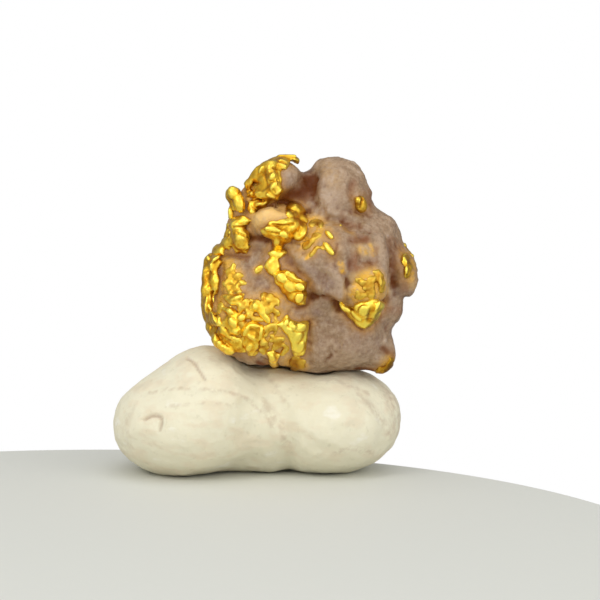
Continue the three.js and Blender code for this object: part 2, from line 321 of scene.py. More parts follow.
def curved(path: tuple[Place, ...], parts: int = 4) -> np.ndarray:
    """Rounds a line's corners.

    Args:
        path: the line's places.
        parts: how many pieces each stretch is cut into.

    Returns:
        The places of a smooth curve through the same places, one to a row.
    """
    ends = np.array((path[0], *path, path[-1]))
    made = [ends[0]]
    for before, start, end, after in zip(ends, ends[1:], ends[2:], ends[3:]):
        slope = end - before
        turn = 2 * before - 5 * start + 4 * end - after
        swing = 3 * start - before - 3 * end + after
        for t in np.linspace(0.0, 1.0, parts + 1)[1:]:
            made.append(start + 0.5 * (slope * t + (turn * t**2 + swing * t**3)))
    return np.array(made)


def distance_to_path(places: np.ndarray, path: np.ndarray) -> np.ndarray:
    """Measures how far places are from a line of one or more places.

    Args:
        places: the places, one to a row.
        path: the line's places, one to a row.

    Returns:
        Each place's distance.
    """
    least = np.linalg.norm(places - path[0], axis=1)
    for start, end in zip(path, path[1:]):
        run = end - start
        share = np.clip((places - start) @ run / max(run @ run, 1e-9), 0.0, 1.0)
        least = np.minimum(least, np.linalg.norm(places - start - share[:, None] * run, axis=1))
    return least


# ---------------------------------------------------------------- the bench
class Bench:
    """Hand tools for pieces that are worked at one unit to the millimetre."""

    @staticmethod
    def hold(*pieces: bpy.types.Object) -> None:
        """Selects pieces alone.

        Args:
            pieces: the pieces. The first one is made active.
        """
        bpy.ops.object.select_all(action="DESELECT")
        for piece in pieces:
            piece.select_set(True)
        bpy.context.view_layer.objects.active = pieces[0]

    @staticmethod
    def duplicate(piece: bpy.types.Object, name: str) -> bpy.types.Object:
        """Copies a piece with its own mesh.

        Args:
            piece: the piece.
            name: the copy's name.

        Returns:
            The copy.
        """
        Bench.hold(piece)
        bpy.ops.object.duplicate()
        made = bpy.context.active_object
        made.name = made.data.name = name
        return made

    @staticmethod
    def take(node: bpy.types.Object, name: str) -> bpy.types.Object:
        """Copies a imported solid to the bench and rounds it.

        Args:
            node: the solid, in metres.
            name: the new piece's name.

        Returns:
            The copy, in millimetres, its loose triangles merged and its facets rounded.
        """
        piece = Bench.duplicate(node, name)
        bpy.ops.object.parent_clear(type="CLEAR_KEEP_TRANSFORM")
        for tag in ("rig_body", "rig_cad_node"):  # the copy isn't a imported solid
            del piece[tag]
        piece.scale = (1.0 / MM,) * 3
        bpy.ops.object.transform_apply(location=False, rotation=False, scale=True)
        bpy.ops.object.mode_set(mode="EDIT")
        bpy.ops.mesh.select_all(action="SELECT")
        bpy.ops.mesh.remove_doubles(threshold=WELD)
        bpy.ops.object.mode_set(mode="OBJECT")
        piece.data.materials.clear()
        Bench.subdivide(piece, 2)
        return piece

    @staticmethod
    def work(piece: bpy.types.Object, kind: str, **settings: Any) -> None:
        """Adds a modifier and applies it.

        Args:
            piece: the piece.
            kind: the modifier's type.
            settings: the modifier's settings.
        """
        Bench.hold(piece)
        bpy.ops.object.modifier_add(type=kind)
        modifier = piece.modifiers[-1]
        for key, value in settings.items():
            setattr(modifier, key, value)
        bpy.ops.object.modifier_apply(modifier=modifier.name)

    @staticmethod
    def subdivide(piece: bpy.types.Object, levels: int) -> None:
        """Cuts each face into four, this many times over, and rounds them."""
        Bench.work(piece, "SUBSURF", levels=levels, render_levels=levels)

    @staticmethod
    def smooth(piece: bpy.types.Object, rounds: int) -> None:
        """Rubs a piece smooth, this many rounds."""
        Bench.work(piece, "SMOOTH", factor=0.5, iterations=rounds)

    @staticmethod
    def roughen(piece: bpy.types.Object, size: float, height: float) -> None:
        """Raises rolling relief all over a piece.

        Args:
            piece: the piece.
            size: width of a bump, in millimetres.
            height: height from pit to bump, in millimetres.
        """
        texture = bpy.data.textures.new("relief", "CLOUDS")
        texture.noise_scale = size
        texture.noise_depth = 2
        Bench.work(piece, "DISPLACE", texture=texture, texture_coords="LOCAL", strength=height, mid_level=0.5)
        bpy.data.textures.remove(texture)

    @staticmethod
    def fuse(pieces: list[bpy.types.Object], voxel: float, rounds: int) -> bpy.types.Object:
        """Melts overlapping pieces into one even skin.

        Args:
            pieces: the pieces. The first one keeps its name.
            voxel: side of a face of the skin, in millimetres.
            rounds: rounds of smoothing.

        Returns:
            The one piece.
        """
        Bench.hold(*pieces)
        if len(pieces) > 1:
            bpy.ops.object.join()
        piece = bpy.context.active_object
        Bench.work(piece, "REMESH", mode="VOXEL", voxel_size=voxel, adaptivity=0.0)
        Bench.smooth(piece, rounds)
        return piece

    @staticmethod
    def points(piece: bpy.types.Object) -> np.ndarray:
        """Gives every vertex.

        Args:
            piece: the piece.

        Returns:
            The vertices, one to a row.
        """
        flat = np.empty(3 * len(piece.data.vertices))
        piece.data.vertices.foreach_get("co", flat)
        return flat.reshape(-1, 3)

    @staticmethod
    def normals(piece: bpy.types.Object) -> np.ndarray:
        """Gives every vertex's normal.

        Args:
            piece: the piece.

        Returns:
            The normals, one to a row.
        """
        flat = np.empty(3 * len(piece.data.vertices))
        piece.data.vertex_normals.foreach_get("vector", flat)
        return flat.reshape(-1, 3)

    @staticmethod
    def move(piece: bpy.types.Object, points: np.ndarray) -> None:
        """Puts every vertex at its new place."""
        piece.data.vertices.foreach_set("co", points.ravel())
        piece.data.update()

    @staticmethod
    def marks(piece: bpy.types.Object, strokes: tuple[Stroke, ...], face: Viewpoint) -> list[np.ndarray]:
        """Works out how strongly each stroke marks each vertex of a piece.

        Args:
            piece: the piece, in millimetres.
            strokes: the strokes.
            face: the viewpoint that they are laid out from.

        Returns:
            For each stroke its mark at each vertex, 1 at its middle and 0 past its width.
        """
        points = Bench.points(piece)
        places = face.lay(points)
        # a mark fades out where the surface turns past the edge that the viewer sees
        shown = np.clip(0.5 + 2.0 * face.facing(points, Bench.normals(piece)), 0.0, 1.0)
        marks = []
        for stroke in strokes:
            share = np.minimum(distance_to_path(places, curved(stroke.path)) / stroke.width, 1.0)
            marks.append((1.0 - share**2) ** 2 * (1.0 if stroke.through else shown))
        return marks

    @staticmethod
    def press(piece: bpy.types.Object, strokes: tuple[Stroke, ...], face: Viewpoint) -> None:
        """Raises and dents a piece along strokes.

        Args:
            piece: the piece, in millimetres.
            strokes: the strokes.
            face: the viewpoint that they are laid out from.
        """
        points, normals = Bench.points(piece), Bench.normals(piece)
        for stroke, mark in zip(strokes, Bench.marks(piece, strokes, face)):
            points = points + normals * (stroke.depth * mark)[:, None]
        Bench.move(piece, points)

    @staticmethod
    def tint(piece: bpy.types.Object, strokes: tuple[Stroke, ...], face: Viewpoint) -> np.ndarray:
        """Works out how strongly strokes colour each vertex of a piece.

        Args:
            piece: the piece, in millimetres.
            strokes: the strokes.
            face: the viewpoint that they are laid out from.

        Returns:
            The strongest stroke's colouring at each vertex.
        """
        tint = np.zeros(len(piece.data.vertices))
        for stroke, mark in zip(strokes, Bench.marks(piece, strokes, face)):
            tint = np.maximum(tint, stroke.depth * mark)
        return tint

    @staticmethod
    def trim(piece: bpy.types.Object, lowest: float, highest: float) -> None:
        """Presses what is too low or too high flat.

        Args:
            piece: the piece, in millimetres.
            lowest: least height above the table.
            highest: greatest height above it.
        """
        points = Bench.points(piece)
        points[:, 2] = np.clip(points[:, 2], lowest, highest)
        Bench.move(piece, points)

    @staticmethod
    def keep_only(piece: bpy.types.Object, kept: np.ndarray) -> None:
        """Deletes the vertices that aren't kept.

        Args:
            piece: the piece.
            kept: for each vertex, whether it is kept.
        """
        Bench.hold(piece)
        bpy.ops.object.mode_set(mode="EDIT")
        bpy.ops.mesh.select_mode(type="VERT")
        bpy.ops.mesh.select_all(action="DESELECT")
        bpy.ops.object.mode_set(mode="OBJECT")
        piece.data.vertices.foreach_set("select", ~kept)
        bpy.ops.object.mode_set(mode="EDIT")
        bpy.ops.mesh.delete(type="VERT")
        bpy.ops.object.mode_set(mode="OBJECT")

    @staticmethod
    def tag(piece: bpy.types.Object, name: str, values: np.ndarray) -> None:
        """Stores one number for each vertex, for a finish to read."""
        layer = piece.data.attributes.new(name, "FLOAT", "POINT")
        layer.data.foreach_set("value", values.astype(np.float32))

    @staticmethod
    def tree(piece: bpy.types.Object) -> BVHTree:
        """Makes a search tree of the piece's surface, in the piece's own units."""
        faces = [tuple(p.vertices) for p in piece.data.polygons]
        return BVHTree.FromPolygons([v.co for v in piece.data.vertices], faces)

    @staticmethod
    def hollowness(piece: bpy.types.Object, hollows: tuple[tuple[int, float], ...]) -> np.ndarray:
        """Works out how much painted shade each vertex gets for lying in a hollow.

        Args:
            piece: the piece, in millimetres.
            hollows: for each width of hollow, the rounds of averaging that find it, more for a wider one, and
                how dark each millimetre below the averaged surface is.

        Returns:
            The painted shade, negative on bumps.
        """
        edges = np.empty(2 * len(piece.data.edges), dtype=np.int64)
        piece.data.edges.foreach_get("vertices", edges)
        one, other = edges.reshape(-1, 2).T
        start = Bench.points(piece)
        normals = Bench.normals(piece)
        count = np.bincount(one, minlength=len(start)) + np.bincount(other, minlength=len(start))
        even, dark = start.copy(), np.zeros(len(start))
        darkness = dict(hollows)
        for done in range(1, max(darkness) + 1):
            total = np.stack(
                [
                    np.bincount(one, weights=even[other, k], minlength=len(start))
                    + np.bincount(other, weights=even[one, k], minlength=len(start))
                    for k in range(3)
                ],
                axis=1,
            )
            even = 0.5 * even + 0.5 * total / np.maximum(count, 1)[:, None]
            if done in darkness:
                dark += darkness[done] * np.einsum("ij,ij->i", even - start, normals)
        return dark

    @staticmethod
    def done(piece: bpy.types.Object, slot: Slot, finish: bpy.types.Material, *nodes: str) -> None:
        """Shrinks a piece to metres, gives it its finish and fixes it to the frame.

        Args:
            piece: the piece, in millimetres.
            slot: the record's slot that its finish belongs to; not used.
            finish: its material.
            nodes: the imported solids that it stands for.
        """
        Bench.hold(piece)
        piece.scale = (MM,) * 3
        bpy.ops.object.transform_apply(location=False, rotation=False, scale=True)
        bpy.ops.object.shade_smooth()
        piece.data.materials.clear()
        piece.data.materials.append(finish)
        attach(piece, "root")
        if nodes:
            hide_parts(*nodes)
        LOG.info("%s: %d faces", piece.name, len(piece.data.polygons))


# ---------------------------------------------------------------- finishes
def linear(colour: str) -> tuple[float, float, float, float]:
    """Turns an sRGB hex colour into linear red, green, blue and full alpha."""
    parts = [int(colour[k : k + 2], 16) / 255 for k in (1, 3, 5)]
    return (*[p / 12.92 if p <= 0.04045 else ((p + 0.055) / 1.055) ** 2.4 for p in parts], 1.0)


def cloudy(place: bpy.types.NodeSocket, size: float, detail: float, roughness: float = 0.6) -> dict[str, Any]:
    """Gives the values of a cloudy pattern on Object coordinates.

    Args:
        place: the coordinates, in metres.
        size: width of a cloud, in millimetres.
        detail: how many finer patterns are added to it.
        roughness: strength of the finer patterns.

    Returns:
        The values, by the name of the socket.
    """
    return {"Vector": place, "Scale": 1.0 / (size * MM), "Detail": detail, "Roughness": roughness}


def add_node(
    tree: bpy.types.NodeTree, kind: str, inputs: dict[Any, Any] | None = None, **settings: Any
) -> bpy.types.Node:
    """Adds a node with its settings and links.

    Args:
        tree: the node tree.
        kind: the node's type, without the leading ShaderNode.
        inputs: for each socket, by name or number, the socket that feeds it or its value.
        settings: the node's own settings. "stops" gives a ramp's places and colours.

    Returns:
        The node.
    """
    node = tree.nodes.new("ShaderNode" + kind)
    for place, colour in settings.pop("stops", ()):
        ramp = node.color_ramp.elements
        stop = ramp[0] if place == 0.0 else ramp[1] if place == 1.0 else ramp.new(place)
        stop.color = linear(colour)
    for key, value in settings.items():
        setattr(node, key, value)
    for key, value in (inputs or {}).items():
        if isinstance(value, bpy.types.NodeSocket):
            tree.links.new(value, node.inputs[key])
        else:
            node.inputs[key].default_value = value
    return node


def tinted(tree: bpy.types.NodeTree, colour: Any, tints: tuple[tuple[Any, ...], ...]) -> bpy.types.NodeSocket:
    """Lays tints over a colour, one after another.

    Args:
        tree: the node tree.
        colour: the colour under them.
        tints: for each, what it follows, the values of that at which it starts and is full, how much of it
            shows there, 0 to 1, and its hex colour.

    Returns:
        The colour.
    """
    # A Map Range node takes a value, its range and its new range. A Mix node's colours are sockets 6 and 7.
    for follows, start, full, most, tint in tints:
        share = add_node(tree, "MapRange", {0: follows, 1: start, 2: full, 4: most}).outputs[0]
        colour = add_node(tree, "Mix", {0: share, 6: colour, 7: linear(tint)}, data_type="RGBA").outputs[2]
    return colour


class Finish:
    """A finish on a piece's Object coordinates and its own tags. Each kind gives its name and its values."""

    name: str = ""
    tags: tuple[str, ...] = ()

    def values(
        self, tree: bpy.types.NodeTree, place: bpy.types.NodeSocket, tags: dict[str, bpy.types.NodeSocket]
    ) -> dict[str, Any]:
        """Gives the shader's values.

        Args:
            tree: the node tree.
            place: the Object coordinates.
            tags: the piece's own tags, by name.

        Returns:
            The values and what feeds them, by the name of the socket.
        """
        raise NotImplementedError

    def material(self) -> bpy.types.Material:
        """Builds the finish.

        Returns:
            The material.
        """
        material = bpy.data.materials.new(self.name)
        material.use_nodes = True
        tree = material.node_tree
        tree.nodes.clear()
        place = add_node(tree, "TexCoord").outputs["Object"]
        tags = {tag: add_node(tree, "Attribute", attribute_name=tag).outputs["Fac"] for tag in self.tags}
        shader = add_node(tree, "BsdfPrincipled", self.values(tree, place, tags))
        add_node(tree, "OutputMaterial", {"Surface": shader.outputs[0]})
        return material


@dataclass(frozen=True)
class MilkyQuartz(Finish):
    """Milky vein quartz, broken out of its vein and rounded by etching.

    It gives the eye a cloudy grey-brown body with a soft sheen, rusty and golden where iron has got in beside
    the gold. Shade is painted into its hollows and crevices and where it meets the gold, and a highlight onto
    its ridges.
    """

    name = "milky_quartz_iron_stained"
    tags = ("rust", "honey", "light", "dark", "film", "gold_stain_and_shade", "hollow_shade")

    milk: str = "#b49f88"
    pale: str = "#ab9075"
    body: str = "#8e7153"
    smoke: str = "#72543b"
    mauve: str = "#866b5f"
    rust: str = "#7e4a1c"
    honey: str = "#e9bd72"
    # painted shade in crevices and hollows
    hollow_shade: str = "#643210"
    amber: str = "#b07c30"
    # painted shade where the stone meets the gold
    contact_shade: str = "#4c2a0a"
    film: str = "#dba73c"

    def values(
        self, tree: bpy.types.NodeTree, place: bpy.types.NodeSocket, tags: dict[str, bpy.types.NodeSocket]
    ) -> dict[str, Any]:
        """Gives the shader's values.

        Args:
            tree: the node tree.
            place: the Object coordinates.
            tags: the piece's own tags, by name.

        Returns:
            The values and what feeds them, by the name of the socket.
        """
        # Widths in millimetres. Bubbles cloud the stone in bands about 2 mm wide, stains come in patches of
        # 1 to 2 mm and leaf gold in flakes of 0.4 mm. The etched grain is finer than it is drawn here, 0.25.
        clouds = ((2.4, 4.0), (1.7, 3.0), (0.8, 5.0), (0.4, 4.0), (0.25, 3.0))
        cloud, stain, haze, flake, grain = (
            add_node(tree, "TexNoise", cloudy(place, size, detail)).outputs["Fac"] for size, detail in clouds
        )
        patchy = {}
        for tag, pattern, start, full, least, most in (
            ("honey", haze, 0.35, 0.65, 0.35, 1.25),
            ("rust", haze, 0.35, 0.65, 0.35, 1.25),
            ("gold_stain_and_shade", haze, 0.35, 0.65, 0.6, 1.2),
            ("film", flake, 0.38, 0.56, 0.2, 1.3),
        ):
            limits = {0: pattern, 1: start, 2: full, 3: least, 4: most}
            patches = add_node(tree, "MapRange", limits).outputs[0]
            patchy[tag] = add_node(tree, "Math", {0: tags[tag], 1: patches}, operation="MULTIPLY").outputs[0]
        both = add_node(tree, "Math", {0: cloud, 1: haze}, operation="ADD").outputs[0]
        body = add_node(
            tree,
            "ValToRGB",
            {0: add_node(tree, "Math", {0: both, 1: 0.5}, operation="MULTIPLY").outputs[0]},
            stops=(
                (0.0, self.smoke),
                (0.38, self.smoke),
                (0.5, self.body),
                (0.62, self.pale),
                (1.0, self.pale),
            ),
        )
        colour = tinted(
            tree,
            body.outputs[0],
            (
                (stain, 0.52, 0.7, 0.6, self.mauve),
                (tags["light"], 0.0, 1.0, 1.0, self.pale),
                (grain, 0.52, 0.7, 0.45, self.smoke),
                (grain, 0.48, 0.3, 0.4, self.milk),
                (patchy["honey"], 0.0, 1.0, 1.0, self.honey),
                (patchy["rust"], 0.0, 1.0, 1.0, self.rust),
                (patchy["gold_stain_and_shade"], 0.08, 0.65, 0.65, self.amber),
                # painted shade: in the crevice strokes, then in every hollow
                (tags["dark"], 0.0, 1.0, 1.0, self.hollow_shade),
                (tags["hollow_shade"], 0.0, 1.0, 1.0, self.hollow_shade),
                (patchy["film"], 0.0, 1.0, 1.0, self.film),
                # painted shade at the edge of the gold, over the iron stain
                (tags["gold_stain_and_shade"], 0.7, 1.0, 0.4, self.contact_shade),
            ),
        )
        # the specular is turned down where shade is painted, in crevices and hollows
        shade_mask = add_node(tree, "Math", {0: tags["dark"], 1: tags["hollow_shade"]}, operation="MAXIMUM").outputs[0]
        relief = add_node(tree, "Math", {0: haze, 1: grain}, operation="ADD").outputs[0]
        bump = add_node(tree, "Bump", {"Height": relief, "Distance": 0.06 * MM, "Strength": 0.9})
        return {
            "Base Color": colour,
            "Metallic": add_node(tree, "MapRange", {0: patchy["film"], 4: 0.5}).outputs[0],
            "Roughness": add_node(tree, "MapRange", {0: haze, 1: 0.3, 2: 0.7, 3: 0.34, 4: 0.52}).outputs[0],
            "Normal": bump.outputs[0],
            "IOR": 1.54,
            "Specular IOR Level": add_node(tree, "MapRange", {0: shade_mask, 2: 0.8, 3: 0.5, 4: 0.1}).outputs[0],
            "Subsurface Weight": 0.12,
            "Subsurface Radius": (1.0, 0.8, 0.6),
            "Subsurface Scale": 0.4 * MM,
        }


@dataclass(frozen=True)
class NativeGold(Finish):
    """Native gold, grown in the rock and left with a satin skin by etching.

    It gives the eye rich yellow with a painted highlight on its bumps, going to amber by painted shade in its
    own hollows and where it meets the stone.
    """

    name = "native_gold_satin"
    tags = ("hollow_shade", "crown_highlight", "dull")

    # painted highlight on the gold's bumps
    crown_highlight: str = "#ffe660"
    bright: str = "#f8c63a"
    amber: str = "#c98214"
    # painted shade in the gold's hollows and where it meets the stone
    deep_shade: str = "#804305"
    tan: str = "#a87a32"

    def values(
        self, tree: bpy.types.NodeTree, place: bpy.types.NodeSocket, tags: dict[str, bpy.types.NodeSocket]
    ) -> dict[str, Any]:
        """Gives the shader's values.

        Args:
            tree: the node tree.
            place: the Object coordinates.
            tags: the piece's own tags, by name.

        Returns:
            The values and what feeds them, by the name of the socket.
        """
        # Iron stains it in patches 0.7 mm wide. Its etched skin is finer than it is drawn here, 0.3 mm.
        stain, etch = (
            add_node(tree, "TexNoise", cloudy(place, size, 4.0)).outputs["Fac"] for size in (0.7, 0.3)
        )
        colour = tinted(
            tree,
            linear(self.bright),
            (
                (stain, 0.46, 0.62, 0.8, self.amber),
                # painted highlight on the bumps
                (tags["crown_highlight"], 0.0, 1.0, 1.0, self.crown_highlight),
                (tags["dull"], 0.0, 1.0, 1.0, self.tan),
                # painted shade in the hollows and where the gold meets the stone
                (tags["hollow_shade"], 0.0, 1.0, 1.0, self.deep_shade),
            ),
        )
        bump = add_node(tree, "Bump", {"Height": etch, "Distance": 0.012 * MM, "Strength": 0.5})
        satin = add_node(tree, "MapRange", {0: etch, 1: 0.3, 2: 0.7, 3: 0.26, 4: 0.38}).outputs[0]
        worn = add_node(tree, "Math", {0: tags["dull"], 1: 0.25, 2: satin}, operation="MULTIPLY_ADD")
        return {
            "Base Color": colour,
            "Metallic": 1.0,
            "Roughness": worn.outputs[0],
            "Normal": bump.outputs[0],
        }


@dataclass(frozen=True)
class MineralTack(Finish):
    """White mineral tack, a soft putty kneaded and pinched between the fingers.

    It gives the eye a dull cream surface with faint warm and grey streaks of handling, and pinkish painted
    shade in its creases and folds and down its sides.
    """

    name = "mineral_tack_white"
    tags = ("crease", "fold_shade")

    cream: str = "#e2dcc3"
    warm: str = "#dfd4ba"
    grey: str = "#cbc9b4"
    # painted shade along the putty's folds
    fold_shade_tint: str = "#bca88f"
    dust: str = "#c6bfa4"
    # painted shade in its creases
    crease_shade: str = "#a88d78"

    def values(
        self, tree: bpy.types.NodeTree, place: bpy.types.NodeSocket, tags: dict[str, bpy.types.NodeSocket]
    ) -> dict[str, Any]:
        """Gives the shader's values.

        Args:
            tree: the node tree.
            place: the Object coordinates.
            tags: the piece's own tags, by name.

        Returns:
            The values and what feeds them, by the name of the socket.
        """
        # Kneading draws streaks 1.5 mm wide, longer than they are high, and skin leaves ridges 0.45 mm apart.
        drawn = add_node(tree, "Mapping", {"Vector": place, "Scale": (0.7, 0.8, 1.4)}).outputs[0]
        streak, ridge, speck = (
            add_node(tree, "TexNoise", pattern).outputs["Fac"]
            for pattern in (
                cloudy(drawn, 1.5, 6.0, roughness=0.5),
                cloudy(place, 0.45, 5.0, roughness=0.5),
                cloudy(place, 0.5, 3.0),
            )
        )
        knead = add_node(
            tree,
            "ValToRGB",
            {0: streak},
            stops=(
                (0.0, self.grey),
                (0.38, self.grey),
                (0.5, self.cream),
                (0.62, self.cream),
                (1.0, self.warm),
            ),
        )
        patches = add_node(tree, "MapRange", {0: ridge, 1: 0.4, 2: 0.62}).outputs[0]
        # painted shade along the folds, broken into patches
        fold_shade_patches = add_node(tree, "Math", {0: tags["fold_shade"], 1: patches}, operation="MULTIPLY").outputs[0]
        colour = tinted(
            tree,
            knead.outputs[0],
            (
                # painted shade in the folds
                (fold_shade_patches, 0.0, 1.0, 1.0, self.fold_shade_tint),
                (speck, 0.6, 0.72, 0.35, self.dust),
                # painted shade in the creases
                (tags["crease"], 0.0, 1.0, 1.0, self.crease_shade),
            ),
        )
        bump = add_node(tree, "Bump", {"Height": ridge, "Distance": 0.09 * MM, "Strength": 0.6})
        return {
            "Base Color": colour,
            "Roughness": 0.8,
            "Specular IOR Level": 0.3,
            "Normal": bump.outputs[0],
            "Subsurface Weight": 0.12,
            "Subsurface Radius": (1.0, 0.9, 0.7),
            "Subsurface Scale": 0.6 * MM,
        }


@dataclass(frozen=True)
class PaintedBoard(Finish):
    """A board with matt off-white paint, rolled on. It gives the eye a plain pale floor."""

    name = "matt_paint_off_white"

    paint: str = "#d8d9d2"

    def values(
        self, tree: bpy.types.NodeTree, place: bpy.types.NodeSocket, tags: dict[str, bpy.types.NodeSocket]
    ) -> dict[str, Any]:
        """Gives the shader's values.

        Args:
            tree: the node tree.
            place: the Object coordinates.
            tags: the piece's own tags, by name; not used.

        Returns:
            The values and what feeds them, by the name of the socket.
        """
        # The roller's nap leaves a stipple 0.8 mm wide.
        stipple = add_node(tree, "TexNoise", cloudy(place, 0.8, 3.0, roughness=0.5)).outputs["Fac"]
        bump = add_node(tree, "Bump", {"Height": stipple, "Distance": 0.02 * MM})
        return {"Base Color": linear(self.paint), "Roughness": 0.7, "Normal": bump.outputs[0]}


# ---------------------------------------------------------------- the quartz
@dataclass(frozen=True)
class Paint:
    """Strokes that colour one face of the stone.

    Attributes:
        face: the viewpoint that they are laid out from.
        rust: iron stain, brown.
        honey: gold-brown quartz.
        light: paler quartz, and a painted highlight on its ridges and on the lump under the crest.
        dark: painted shade in crevices and recesses, under lumps of gold and where the stone meets the putty.
        film: films and grains of gold too thin to stand proud.
    """

    face: Viewpoint
    rust: tuple[Stroke, ...] = ()
    honey: tuple[Stroke, ...] = ()
    # paler quartz, partly a painted highlight on ridges
    light: tuple[Stroke, ...] = ()
    # painted shade, laid in strokes
    dark: tuple[Stroke, ...] = ()
    film: tuple[Stroke, ...] = ()


